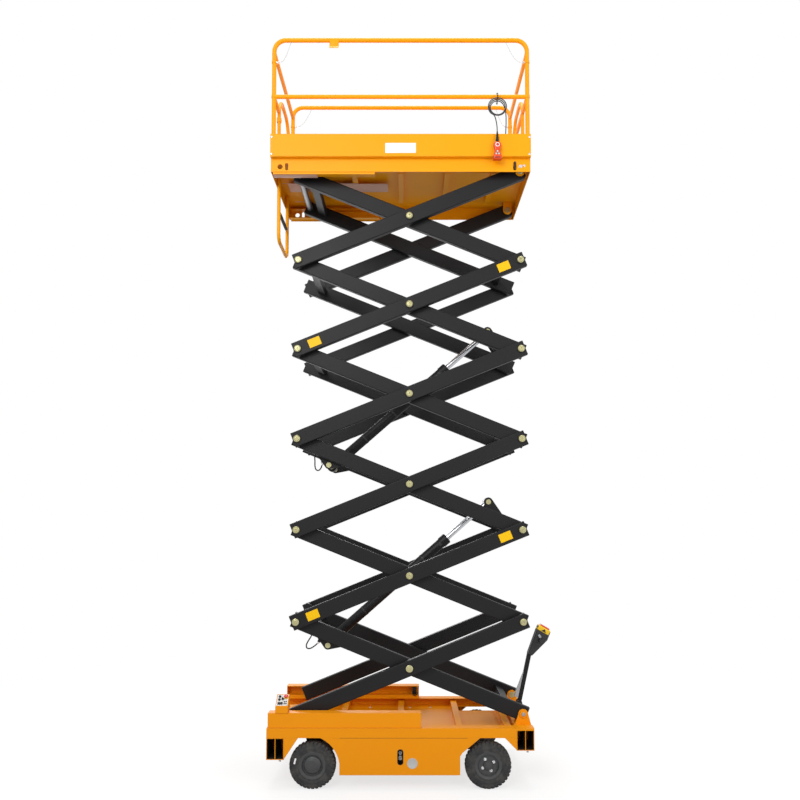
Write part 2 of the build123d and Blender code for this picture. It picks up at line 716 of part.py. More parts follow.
# stage: route in the arm's plane, along the arm and above its centre line
hose_routes = {
    1: (
        (948, -49),
        (951, -92),
        (960, -138),
        (966, -184),
        (950, -214),
        (918, -206),
        (892, -172),
        (874, -138),
        (866, -116),
    ),
    3: (
        (941, -49),
        (932, -87),
        (912, -126),
        (897, -168),
        (872, -202),
        (842, -196),
        (831, -156),
        (841, -116),
    ),
}
for stage in range(1, stages + 1):
    frame_plane = falling_plane(stage)
    along = Axis(frame_plane.origin, frame_plane.x_dir)
    carries_barrel = stage in cylinder_stages
    carries_rod = stage - 2 in cylinder_stages
    top_stage = stage == stages
    side_face = side_plane(frame_plane)
    with BuildPart(frame_plane) as inner_frame:
        with GridLocations(0, 2 * inner_arm_y, 1, 2):
            Box(arm_length, arm_width, arm_height)
        fillet(inner_frame.edges().filter_by(along), arm_corner)
        with GridLocations(2 * cross_tube_place, 0, 2, 1):
            Box(cross_tube_run, 2 * inner_face_y, cross_tube_height)
        if carries_barrel:
            # a plate inside each arm, held off it by a pad, with the hoses' fittings
            for outward in (-1, 1):
                plate_face = outward * (inner_face_y - foot_bracket_gap)
                with BuildSketch(side_face.offset(plate_face)):
                    with Locations((cylinder_place, -foot_offset)):
                        Circle(foot_bracket_radius)
                    with Locations((cylinder_place, -arm_height / 2 + 15)):
                        Rectangle(foot_bracket_run, 30)
                    make_hull()
                    with Locations((cylinder_place, -foot_offset)):
                        Circle(cylinder_pin_radius, mode=Mode.SUBTRACT)
                extrude(amount=-outward * heavy_plate)
                with BuildSketch(side_face.offset(plate_face)):
                    with Locations((cylinder_place, -arm_height / 2 + 15)):
                        Rectangle(foot_bracket_run, 30)
                extrude(amount=outward * foot_bracket_gap)
            # a port under the cross tube, and one inside the near plate; local Y points to -Y
            hose_route = hose_routes[stage]
            with Locations((hose_route[0][0], hose_y, hose_route[0][1])):
                Box(*hose_port, align=(Align.CENTER, Align.CENTER, Align.MIN))
            with Locations((hose_route[-1][0], hose_y, hose_route[-1][1])):
                Box(*hose_port, align=(Align.CENTER, Align.CENTER, Align.MIN))
        if carries_rod:
            # plates each side of the rod's eye, on the right-hand cross tube
            for face_y in (bracket_inner_y, -bracket_inner_y - heavy_plate):
                with BuildSketch(side_face.offset(face_y)):
                    with Locations((-cylinder_place, eye_offset)):
                        Circle(eye_radius)
                    with Locations((-cross_tube_place, 0)):
                        Rectangle(cross_tube_run, cross_tube_height + 2 * heavy_plate)
                    make_hull()
                    with Locations((-cylinder_place, eye_offset)):
                        Circle(cylinder_pin_radius, mode=Mode.SUBTRACT)
                extrude(amount=heavy_plate)
        if top_stage:
            with Locations((arm_pitch / 2, 0, 0)):
                Cylinder(
                    pin_radius,
                    2 * inner_back_y,
                    rotation=(90, 0, 0),
                    mode=Mode.SUBTRACT,
                )
    save(inner_frame.part, f"inner_frame_{stage}")

    # pins stand on the inner arms' outer faces; the lowest right-hand ones also reach inwards
    # columns: place along the arm, near end, far end
    pin_table = [(0, inner_back_y, pin_tip_y)]
    if stage == 1:
        ear_reach = ear_gap + heavy_plate + 6
        pin_table.append((-arm_pitch / 2, inner_back_y, inner_back_y + ear_reach))
        pin_table.append((-arm_pitch / 2, inner_face_y - ear_reach, inner_face_y))
    else:
        pin_table.append((-arm_pitch / 2, inner_back_y, pin_tip_y))
    if not top_stage:
        pin_table.append((arm_pitch / 2, inner_back_y, pin_tip_y))
    with BuildPart(frame_plane) as pins:
        for place, near, far in pin_table:
            with GridLocations(0, near + far, 1, 2):
                with Locations((place, 0, 0)):
                    Cylinder(pin_radius, far - near, rotation=(90, 0, 0))
        if carries_barrel:
            with Locations((cylinder_place, 0, -foot_offset)):
                Cylinder(
                    cylinder_pin_radius,
                    2 * (inner_face_y - foot_bracket_gap),
                    rotation=(90, 0, 0),
                )
        if carries_rod:
            with Locations((-cylinder_place, 0, eye_offset)):
                with GridLocations(0, 2 * bracket_inner_y + heavy_plate + 8, 1, 2):
                    Cylinder(cylinder_pin_radius, heavy_plate + 8, rotation=(90, 0, 0))
    save(pins.part, f"pins_{stage}")

    arm_plane = rising_plane(stage)
    along = Axis(arm_plane.origin, arm_plane.x_dir)
    with BuildPart(arm_plane) as outer_arms:
        for arm_face in (outer_face_y - arm_width, -outer_face_y):
            with BuildSketch(side_plane(arm_plane).offset(arm_face)):
                Rectangle(arm_length, arm_height)
                if stage == stages:
                    chamfer(vertices().group_by(Axis.X)[-1], top_arm_chamfer)
            extrude(amount=arm_width)
        fillet(outer_arms.edges().filter_by(along), arm_corner)
        places = (0, arm_pitch / 2) if stage == 1 else (-arm_pitch / 2, 0, arm_pitch / 2)
        with Locations(*[(place, 0, 0) for place in places]):
            Cylinder(
                pin_radius + pin_clearance,
                2 * (outer_face_y + 1),
                rotation=(90, 0, 0),
                mode=Mode.SUBTRACT,
            )
    save(outer_arms.part, f"outer_arms_{stage}")

# ---- rollers: at the feet of the lowest outer arms, and across the top of the highest inner arms
roller_y = (track_inner_y + 6, track_inner_y + 6 + roller_width)
with BuildPart() as foot_rollers:
    for reach, radius in ((outer_face_y, pin_radius), (roller_y[0], roller_radius)):
        with BuildSketch(Plane.XZ.offset(reach)):
            with Locations((slider_x, pivot_z)):
                Circle(radius)
        extrude(amount=(roller_y[0] if reach == outer_face_y else roller_y[1]) - reach)
    mirror(about=Plane.XZ)
save(foot_rollers.part, "foot_rollers")

top_track_y = (platform_width / 2 - 120.0, platform_width / 2 - 52.0)
top_roller_y = (top_track_y[0] + 6, top_track_y[0] + 6 + roller_width)
with BuildPart() as head_rollers:
    with BuildSketch(Plane.XZ.offset(-top_roller_y[0])):
        with Locations((slider_x, top_z)):
            Circle(pin_radius)
    extrude(amount=2 * top_roller_y[0])
    with BuildSketch(Plane.XZ.offset(top_roller_y[0])):
        with Locations((slider_x, top_z)):
            Circle(roller_radius)
    extrude(amount=roller_width)
    mirror(about=Plane.XZ)
save(head_rollers.part, "head_rollers")

# ================================================================ lift cylinders
offsets = foot_offset + eye_offset
reach_x = (arm_pitch - 2 * cylinder_inset) * cos(lean) + offsets * sin(lean)
reach_z = (arm_pitch + 2 * cylinder_inset) * sin(lean) + offsets * cos(lean)
cylinder_reach = hypot(reach_x, reach_z)
for count, stage in enumerate(cylinder_stages, start=1):
    foot = falling_plane(stage).from_local_coords(
        Vector(cylinder_place, 0, -foot_offset)
    )
    cylinder_plane = Plane(
        origin=foot,
        x_dir=(reach_x / cylinder_reach, 0, reach_z / cylinder_reach),
        z_dir=(-reach_z / cylinder_reach, 0, reach_x / cylinder_reach),
    )
    cylinder_axis = Axis(cylinder_plane.origin, cylinder_plane.x_dir)
    with BuildPart(cylinder_plane) as barrel:
        with BuildSketch(side_plane(cylinder_plane)):
            with BuildLine():
                Polyline(
                    (0, 0),
                    (0, 30),
                    (eye_radius + 20, 30),
                    (eye_radius + 26, barrel_radius),
                    (barrel_length - gland_length, barrel_radius),
                    (barrel_length - gland_length, gland_radius),
                    (barrel_length, gland_radius),
                    (barrel_length, rod_radius + pin_clearance),
                    (barrel_length - rod_bore_depth, rod_radius + pin_clearance),
                    (barrel_length - rod_bore_depth, 0),
                    close=True,
                )
            make_face()
        revolve(axis=cylinder_axis)
        Cylinder(eye_radius, 2 * eye_half_width, rotation=(90, 0, 0))
        Cylinder(
            cylinder_pin_radius + pin_clearance,
            2 * eye_half_width + 2,
            rotation=(90, 0, 0),
            mode=Mode.SUBTRACT,
        )
    save(barrel.part, f"cylinder_barrel_{count}")

    with BuildPart(cylinder_plane) as rod:
        with Locations((cylinder_reach, 0, 0)):
            Cylinder(
                rod_radius,
                rod_length,
                rotation=(0, 90, 0),
                align=(Align.CENTER, Align.CENTER, Align.MAX),
            )
            Cylinder(eye_radius, 2 * eye_half_width, rotation=(90, 0, 0))
            Cylinder(
                cylinder_pin_radius + 1,
                2 * eye_half_width + 2,
                rotation=(90, 0, 0),
                mode=Mode.SUBTRACT,
            )
    save(rod.part, f"cylinder_rod_{count}")

# ================================================================ platform
half_platform = platform_length / 2
half_platform_width = platform_width / 2
floor_z = top_z + floor_under + plate
band_lip = 30.0
rib_pitch = 450.0
band_half = (half_platform - band_inset_x, half_platform_width - band_inset_y)
top_track_stations = (-half_platform + 18.0, -240.0)
tie_hole_radius = 24.0
tie_hole_station = -1124.0
band_hole_rise = 8.0  # above the top pins
band_slot = (30.0, 70.0)
band_slot_stations = (-1062.0, 1065.0)
track_roof = top_z + roller_radius + roller_gap
track_base = top_z - roller_radius - roller_gap
with BuildPart() as platform_frame:
    # outer band with a lip turned in at its foot
    with BuildSketch(Plane.XY.offset(top_z + band_bottom)):
        with Locations((chassis_x, 0)):
            Rectangle(2 * band_half[0], 2 * band_half[1])
            Rectangle(
                2 * (band_half[0] - plate), 2 * (band_half[1] - plate), mode=Mode.SUBTRACT
            )
    extrude(amount=floor_under - band_bottom)
    # floor, over the band and out to the toe boards
    with Locations((chassis_x, 0, top_z + floor_under)):
        Box(
            platform_length,
            platform_width,
            plate,
            align=(Align.CENTER, Align.CENTER, Align.MIN),
        )
    # cross ribs between the arms
    for count in range(-2, 3):
        with Locations((station(count * rib_pitch), 0, top_z + floor_under)):
            Box(
                50,
                2 * (inner_face_y - 10),
                38,
                align=(Align.CENTER, Align.CENTER, Align.MAX),
            )
    for side in (-1, 1):
        # roller track, open inwards
        with BuildSketch(Plane.YZ.offset(station(top_track_stations[0]))):
            with Locations((side * (top_track_y[1] + plate / 2), top_z + floor_under)):
                Rectangle(
                    plate, floor_under - band_bottom + 20, align=(Align.CENTER, Align.MAX)
                )
            for shelf, align in ((track_roof, Align.MIN), (track_base, Align.MAX)):
                with Locations((side * (top_track_y[0] + top_track_y[1]) / 2, shelf)):
                    Rectangle(
                        top_track_y[1] - top_track_y[0], track_lip, align=(Align.CENTER, align)
                    )
        extrude(amount=top_track_stations[1] - top_track_stations[0])
        # ears for the top pins
        for face_y in (outer_face_y + ear_gap, outer_arm_y - arm_width / 2 - ear_gap - heavy_plate):
            near_y = side * face_y if side > 0 else -face_y - heavy_plate
            with BuildSketch(Plane.XZ.offset(-near_y - heavy_plate)):
                with Locations((pivot_x, top_z + floor_under)):
                    Rectangle(2 * ear_radius, 10, align=(Align.CENTER, Align.MAX))
                with Locations((pivot_x, top_z)):
                    Circle(ear_radius)
                make_hull()
                with Locations((pivot_x, top_z)):
                    Circle(pin_radius, mode=Mode.SUBTRACT)
            extrude(amount=heavy_plate)
    # round tie-down holes and upright slots through the long sides of the band
    with BuildSketch(Plane.XZ.offset(band_half[1] + 1)):
        with Locations((station(tie_hole_station), top_z + band_hole_rise)):
            Circle(tie_hole_radius)
        with Locations(
            *[(station(place), top_z + band_hole_rise) for place in band_slot_stations]
        ):
            SlotOverall(band_slot[1], band_slot[0], rotation=90)
    extrude(amount=-2 * (band_half[1] + 1), mode=Mode.SUBTRACT)
save(platform_frame.part, "platform_frame")

with BuildPart() as platform_pins:
    pin_from = outer_arm_y - arm_width / 2 - ear_gap - heavy_plate - 6
    with BuildSketch(Plane.XZ.offset(pin_from)):
        with Locations((pivot_x, top_z)):
            Circle(pin_radius)
    extrude(amount=outer_face_y + ear_gap + heavy_plate + 6 - pin_from)
    mirror(about=Plane.XZ)
save(platform_pins.part, "platform_pins")

# ---- toe boards round the floor, open at the entry
with BuildPart() as toe_boards:
    with BuildSketch(Plane.XY.offset(floor_z)):
        with Locations((chassis_x, 0)):
            Rectangle(platform_length, platform_width)
            Rectangle(
                platform_length - 2 * plate, platform_width - 2 * plate, mode=Mode.SUBTRACT
            )
        with Locations((chassis_x - half_platform, 0)):
            Rectangle(60, 2 * (hoop_half_width + 20), mode=Mode.SUBTRACT)
    extrude(amount=top_z + toe_board_top - floor_z)
save(toe_boards.part, "toe_boards")

# ---- side guard rails: a bent tube down to the floor, with a middle rail
post_station = half_platform - plate - rail_tube_radius
post_y = half_platform_width - plate - rail_tube_radius
with BuildPart() as side_rails:
    for side in (-1, 1):
        with BuildLine(Plane.XZ.offset(-side * post_y)):
            rail_path = FilletPolyline(
                (station(-post_station), floor_z),
                (station(-post_station), top_z + top_rail_z),
                (station(post_station), top_z + top_rail_z),
                (station(post_station), floor_z),
                radius=rail_bend,
            )
        with BuildSketch(Plane.XY.offset(floor_z)):
            with Locations((station(-post_station), side * post_y)):
                Circle(rail_tube_radius)
        sweep(path=rail_path)
        with Locations((chassis_x, side * post_y, top_z + mid_rail_z)):
            Cylinder(rail_tube_radius - 1, 2 * post_station, rotation=(0, 90, 0))
save(side_rails.part, "side_rails")



def bent_hoop(x, half_width, end_z, bar_z, bend, radius):
    """A tube bent to a U across the machine: its ends at end_z, its cross bar at bar_z."""
    bend_z = bar_z - bend if bar_z > end_z else bar_z + bend
    with BuildPart() as tube:
        for side in (-1, 1):
            with Locations((x, side * half_width, (end_z + bend_z) / 2)):
                Cylinder(radius, abs(bend_z - end_z))
            with BuildSketch(Plane.XY.offset(bend_z)):
                with Locations((x, side * half_width)):
                    Circle(radius)
            turn = side if bar_z > end_z else -side
            revolve(axis=Axis((x, side * (half_width - bend), bend_z), (turn, 0, 0)), revolution_arc=90)
        with Locations((x, 0, bar_z)):
            Cylinder(radius, 2 * (half_width - bend), rotation=(90, 0, 0))
    return tube.part


# ---- end rails: bars between the corner posts, and the right end's fixed hoop
hoop_tube_radius = 17.0
end_bar_z = top_z + top_rail_z - rail_bend - 10
bar_half = post_y - rail_tube_radius
with BuildPart() as end_rails:
    for end in (-1, 1):
        with Locations((station(end * post_station), 0, end_bar_z)):
            Cylinder(rail_tube_radius - 2, 2 * bar_half, rotation=(90, 0, 0))
    # short middle bars beside the entry, and the full one at the right
    for side in (-1, 1):
        stub = bar_half - hoop_half_width - 26
        with Locations(
            (station(-post_station), side * (bar_half - stub / 2), top_z + mid_rail_z)
        ):
            Cylinder(rail_tube_radius - 2, stub, rotation=(90, 0, 0))
    with Locations((station(post_station), 0, top_z + mid_rail_z)):
        Cylinder(rail_tube_radius - 2, 2 * bar_half, rotation=(90, 0, 0))
    add(
        bent_hoop(
            station(post_station),
            hoop_half_width,
            floor_z,
            top_z + hoop_top_z,
            hoop_bend,
            hoop_tube_radius,
        )
    )
save(end_rails.part, "end_rails")

# ---- entry gate: a hooped frame with its own toe plate, turning on its near leg
gate_x = station(-post_station)
gate_foot_z = floor_z + 8
with BuildPart() as entry_gate:
    add(
        bent_hoop(
            gate_x, hoop_half_width, gate_foot_z, top_z + hoop_top_z, hoop_bend, hoop_tube_radius
        )
    )
    with Locations((gate_x - hoop_tube_radius + plate / 2, 0, gate_foot_z)):
        Box(
            plate,
            2 * hoop_half_width + 20,
            top_z + toe_board_top - gate_foot_z,
            align=(Align.CENTER, Align.CENTER, Align.MIN),
        )
save(entry_gate.part, "entry_gate")

# ---- ladder under the entry
ladder_x = station(-half_platform + band_inset_x + plate + ladder_tube_radius + 1)
with BuildPart() as ladder:
    add(
        bent_hoop(
            ladder_x,
            ladder_half_width,
            top_z + floor_under - 2,
            top_z + ladder_bottom_z,
            ladder_bend,
            ladder_tube_radius,
        )
    )
    with Locations((ladder_x, 0, top_z + ladder_bottom_z / 2)):
        Cylinder(ladder_tube_radius - 3, 2 * ladder_half_width, rotation=(90, 0, 0))
save(ladder.part, "ladder")

# ---- pendant control hanging outside the near toe board
pendant_station = 894.0
pendant_size = (82.0, 55.0, 171.0)
pendant_bottom_z = top_z + 37
pendant_y = -half_platform_width - 3 - pendant_size[1] / 2
with BuildPart() as pendant:
    with Locations((station(pendant_station), pendant_y, pendant_bottom_z)):
        Box(*pendant_size, align=(Align.CENTER, Align.CENTER, Align.MIN))
    fillet(pendant.edges().filter_by(Axis.Z), 14)
    with Locations((station(pendant_station), pendant_y, pendant_bottom_z + pendant_size[2])):
        Cone(20, 9, 100, align=(Align.CENTER, Align.CENTER, Align.MIN))
save(pendant.part, "pendant")

# ================================================================ cords
cord_radius = 4.75
coil_centre = (902.0, 8.0, 552.0)  # station, out from the platform, height above the top pins
coil_radius, coil_thickness = 76.0, 14.0
gland_height = 44.0
# from the pendant's strain relief up to the coil: station, out from the platform, height
cord_up = (
    (894, 30.5, 308),
    (893, 28, 360),
    (886, 19, 418),
    (871, 11, 473),
)
# from the coil down inside the toe board to the gland: the same columns
cord_down = (
    (977, 6, 545),
    (981, -2, 488),
    (984, -20, 432),
    (984, -35, 376),
    (981, -44, 316),
    (978, -48, 254),
    (979, -49, 194),
    (981, -48, 137),
)
with BuildPart() as pendant_cord:
    for route in (cord_up, cord_down):
        places = [(station(x), -half_platform_width - out, top_z + rise) for x, out, rise in route]
        add(cord_tube(places, cord_radius))
save(pendant_cord.part, "pendant_cord")

with BuildPart() as cord_coil:
    coil_plane = Plane.XY.offset(top_z + coil_centre[2])
    coil_middle = (station(coil_centre[0]), -half_platform_width - coil_centre[1])
    with BuildSketch(coil_plane):
        with Locations((coil_middle[0] + coil_radius, coil_middle[1])):
            RegularPolygon(coil_thickness, 8)
    revolve(axis=Axis((*coil_middle, coil_plane.origin.Z), (0, 1, 0)))
save(cord_coil.part, "cord_coil")

with BuildPart() as cord_gland:
    with Locations((station(cord_down[-1][0]), -half_platform_width - cord_down[-1][1], floor_z)):
        Cylinder(15, 14, align=(Align.CENTER, Align.CENTER, Align.MIN))
        with Locations((0, 0, 14)):
            Cone(12, 7, gland_height - 14, align=(Align.CENTER, Align.CENTER, Align.MIN))
save(cord_gland.part, "cord_gland")

# ---- hoses at the feet of the lift cylinders
for count, stage in enumerate(cylinder_stages, start=1):
    frame_plane = falling_plane(stage)
    route = [
        frame_plane.from_local_coords(Vector(along, hose_y, rise))
        for along, rise in hose_routes[stage]
    ]
    save(cord_tube(route, hose_radius), f"hose_{count}")
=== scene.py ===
"""Dresses the walk-behind scissor lift: finishes, tread, fasteners, controls, cords and the studio round it.

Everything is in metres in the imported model's frame: X towards the tiller, Y away from the pendant, Z up.
A station is a distance along the machine from the middle of the chassis.
"""

from __future__ import annotations

import json
import logging
import math
import sys
from dataclasses import dataclass, field
from enum import Enum
from functools import cache
from typing import Iterable, Sequence

import bmesh
import bpy
from mathutils import Matrix, Vector

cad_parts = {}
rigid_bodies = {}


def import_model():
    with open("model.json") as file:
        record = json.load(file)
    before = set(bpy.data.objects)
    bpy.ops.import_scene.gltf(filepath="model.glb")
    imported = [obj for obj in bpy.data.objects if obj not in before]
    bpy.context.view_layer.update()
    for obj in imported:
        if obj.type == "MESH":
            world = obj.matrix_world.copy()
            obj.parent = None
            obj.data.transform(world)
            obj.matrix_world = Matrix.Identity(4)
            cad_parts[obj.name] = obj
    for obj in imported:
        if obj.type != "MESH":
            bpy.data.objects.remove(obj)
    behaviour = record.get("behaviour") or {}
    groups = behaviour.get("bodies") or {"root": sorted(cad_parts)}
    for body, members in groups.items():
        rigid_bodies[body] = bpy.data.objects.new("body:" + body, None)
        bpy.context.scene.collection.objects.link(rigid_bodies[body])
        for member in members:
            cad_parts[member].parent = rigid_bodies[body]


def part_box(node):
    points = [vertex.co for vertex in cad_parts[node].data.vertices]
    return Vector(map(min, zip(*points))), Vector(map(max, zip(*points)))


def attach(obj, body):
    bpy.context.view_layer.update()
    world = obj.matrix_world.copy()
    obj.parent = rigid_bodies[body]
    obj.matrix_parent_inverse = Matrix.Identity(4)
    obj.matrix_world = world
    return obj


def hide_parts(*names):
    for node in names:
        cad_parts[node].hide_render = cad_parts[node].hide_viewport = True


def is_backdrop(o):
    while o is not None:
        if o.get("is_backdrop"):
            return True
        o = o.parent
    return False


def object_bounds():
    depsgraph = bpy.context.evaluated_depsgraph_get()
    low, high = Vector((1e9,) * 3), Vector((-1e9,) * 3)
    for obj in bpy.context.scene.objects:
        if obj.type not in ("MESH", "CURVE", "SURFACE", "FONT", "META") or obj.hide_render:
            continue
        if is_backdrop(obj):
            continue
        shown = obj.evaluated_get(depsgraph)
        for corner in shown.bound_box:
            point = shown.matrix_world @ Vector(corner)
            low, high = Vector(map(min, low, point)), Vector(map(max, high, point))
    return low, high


log = logging.getLogger("scissor_lift")

Point = Sequence[float]
Pair = tuple[float, float]
Piece = bpy.types.Object
Material = bpy.types.Material
Socket = bpy.types.NodeSocket
Draft = bmesh.types.BMesh  # a part while it is shaped
Corner = bmesh.types.BMVert

# ---------- shared places, metres
CHASSIS_X = -0.124  # X of station 0
LEAN = math.radians(22.0)  # of the arms over the level
LEAN_COS, LEAN_SIN = math.cos(LEAN), math.sin(LEAN)
ARM_PITCH = 2.25  # between an arm's end pins
PIVOT_Z = 0.622
PIVOT_X = CHASSIS_X + 1.125
SLIDER_X = PIVOT_X - ARM_PITCH * LEAN_COS
MIDDLE_X = (PIVOT_X + SLIDER_X) / 2
STAGE_RISE = ARM_PITCH * LEAN_SIN
STAGES = 6
TOP_Z = PIVOT_Z + STAGES * STAGE_RISE  # of the platform's pins
FLOOR_Z = TOP_Z + 0.093
HALF_WIDTH = 0.6  # of the chassis and of the platform
NEAR_EDGE = -HALF_WIDTH  # Y of the machine's near side


def station(value: float) -> float:
    """X of a station given in millimetres."""
    return CHASSIS_X + value / 1000.0


def level(count: float) -> float:
    """Z of the pins a number of stages up."""
    return PIVOT_Z + count * STAGE_RISE


def inner_point(stage: int, along: float, rise: float, y: float = 0.0) -> Vector:
    """A point of an inner frame, given up its arm from the middle and over its centre line."""
    x = MIDDLE_X - along * LEAN_COS + rise * LEAN_SIN
    return Vector((x, y, level(stage - 0.5) + along * LEAN_SIN + rise * LEAN_COS))


def outer_point(stage: int, along: float, y: float) -> Vector:
    """A point on the centre line of an outer arm, given up the arm from its middle."""
    return Vector((MIDDLE_X + along * LEAN_COS, y, level(stage - 0.5) + along * LEAN_SIN))


class Side(Enum):
    """The two long sides of the machine, as the sign of Y."""

    NEAR = -1
    FAR = 1

    @property
    def out(self) -> Point:
        """The way out of the machine on this side."""
        return (0.0, float(self.value), 0.0)


class End(Enum):
    """The two ends of the machine, as the sign of X."""

    LEFT = -1
    RIGHT = 1


class Facing(Enum):
    """Which way a turned or stamped detail points out of its surface."""

    NEAR = (0.0, -1.0, 0.0)
    UP = (0.0, 0.0, 1.0)
    DOWN = (0.0, 0.0, -1.0)


def placed(origin: Point, out: Point, along: Point | None = None) -> Matrix:
    """A local frame on a surface.

    Args:
        origin: where the frame stands.
        out: direction of its local Z.
        along: direction that its local X keeps nearest to.

    Returns:
        The 4x4 matrix from local to row frame.
    """
    z = Vector(out).normalized()
    guide = Vector(along) if along is not None else (
        Vector((0, 0, 1)) if abs(z.z) < 0.9 else Vector((1, 0, 0))
    )
    x = (guide - z * guide.dot(z)).normalized()
    y = z.cross(x)
    turn = Matrix((x, y, z)).transposed().to_4x4()
    return Matrix.Translation(Vector(origin)) @ turn


# ---------- node helpers
class NodeSheet:
    """Adds and joins nodes in one tree, laying them out in a row."""

    def __init__(self, tree: bpy.types.NodeTree) -> None:
        """Takes the tree to fill."""
        self.tree = tree
        self.count = 0

    def add(self, kind: str, **settings: object) -> bpy.types.Node:
        """Adds a node.

        Args:
            kind: the node's type without its ShaderNode or Node prefix for shader nodes.
            settings: attributes to set on it.

        Returns:
            The new node.
        """
        name = kind if kind.startswith("Node") else "ShaderNode" + kind
        node = self.tree.nodes.new(name)
        node.location = (self.count % 8 * 220 - 900, -(self.count // 8) * 260)
        self.count += 1
        for key, value in settings.items():
            setattr(node, key, value)
        return node

    def link(self, out: Socket, into: Socket) -> None:
        """Joins two sockets."""
        self.tree.links.new(out, into)

    def math(self, operation: str, a: object, b: object = 0.0, c: object = 0.0) -> Socket:
        """A math node on numbers or sockets.

        Args:
            operation: the math node's operation.
            a: first number or socket.
            b: second number or socket.
            c: third number or socket.

        Returns:
            Its output socket.
        """
        node = self.add("Math", operation=operation)
        for socket, value in zip(node.inputs, (a, b, c)):
            self.feed(socket, value)
        return node.outputs[0]

    def feed(self, socket: Socket, value: object) -> None:
        """Links a socket into an input, or sets a plain value on it.

        Args:
            socket: the input.
            value: a socket, or the plain value.
        """
        if isinstance(value, Socket):
            self.link(value, socket)
        else:
            socket.default_value = value

    def ramp(self, value: Socket, low: float, high: float) -> Socket:
        """A smooth step from 0 at low to 1 at high.

        Args:
            value: the socket to read.
            low: where the step starts.
            high: where it ends.

        Returns:
            The stepped value.
        """
        node = self.add("MapRange", interpolation_type="SMOOTHSTEP")
        self.feed(node.inputs["Value"], value)
        node.inputs["From Min"].default_value = low
        node.inputs["From Max"].default_value = high
        return node.outputs["Result"]

    def mix(self, factor: object, a: object, b: object) -> Socket:
        """Mixes two colours.

        Args:
            factor: number or socket.
            a: first colour or socket.
            b: second colour or socket.

        Returns:
            The mixed colour.
        """
        node = self.add("Mix", data_type="RGBA")
        self.feed(node.inputs[0], factor)
        for socket, value in ((node.inputs[6], a), (node.inputs[7], b)):
            self.feed(socket, value)
        return node.outputs[2]

    def noise(self, vector: object, scale: object, detail: float = 3.0, rough: float = 0.55) -> Socket:
        """Noise at a scale per metre.

        Args:
            vector: coordinates.
            scale: number or socket.
            detail: octaves.
            rough: share of each finer octave.

        Returns:
            The noise's factor.
        """
        node = self.add("TexNoise")
        self.feed(node.inputs["Vector"], vector)
        self.feed(node.inputs["Scale"], scale)
        node.inputs["Detail"].default_value = detail
        node.inputs["Roughness"].default_value = rough
        return node.outputs[0]


def new_group(
    name: str, ins: Iterable[tuple[str, str, object]], outs: Iterable[tuple[str, str]]
) -> tuple[bpy.types.NodeTree, NodeSheet, bpy.types.Node, bpy.types.Node]:
    """Starts a shader node group with named sockets.

    Args:
        name: the group's name.
        ins: name, socket type and default of each input.
        outs: name and socket type of each output.

    Returns:
        The group, a sheet on it, its input node and its output node.
    """
    group = bpy.data.node_groups.new(name, "ShaderNodeTree")
    for label, kind, default in ins:
        group.interface.new_socket(label, in_out="INPUT", socket_type=kind).default_value = default
    for label, kind in outs:
        group.interface.new_socket(label, in_out="OUTPUT", socket_type=kind)
    sheet = NodeSheet(group)
    return group, sheet, sheet.add("NodeGroupInput"), sheet.add("NodeGroupOutput")


FLOAT, COLOUR, VECTOR = "NodeSocketFloat", "NodeSocketColor", "NodeSocketVector"


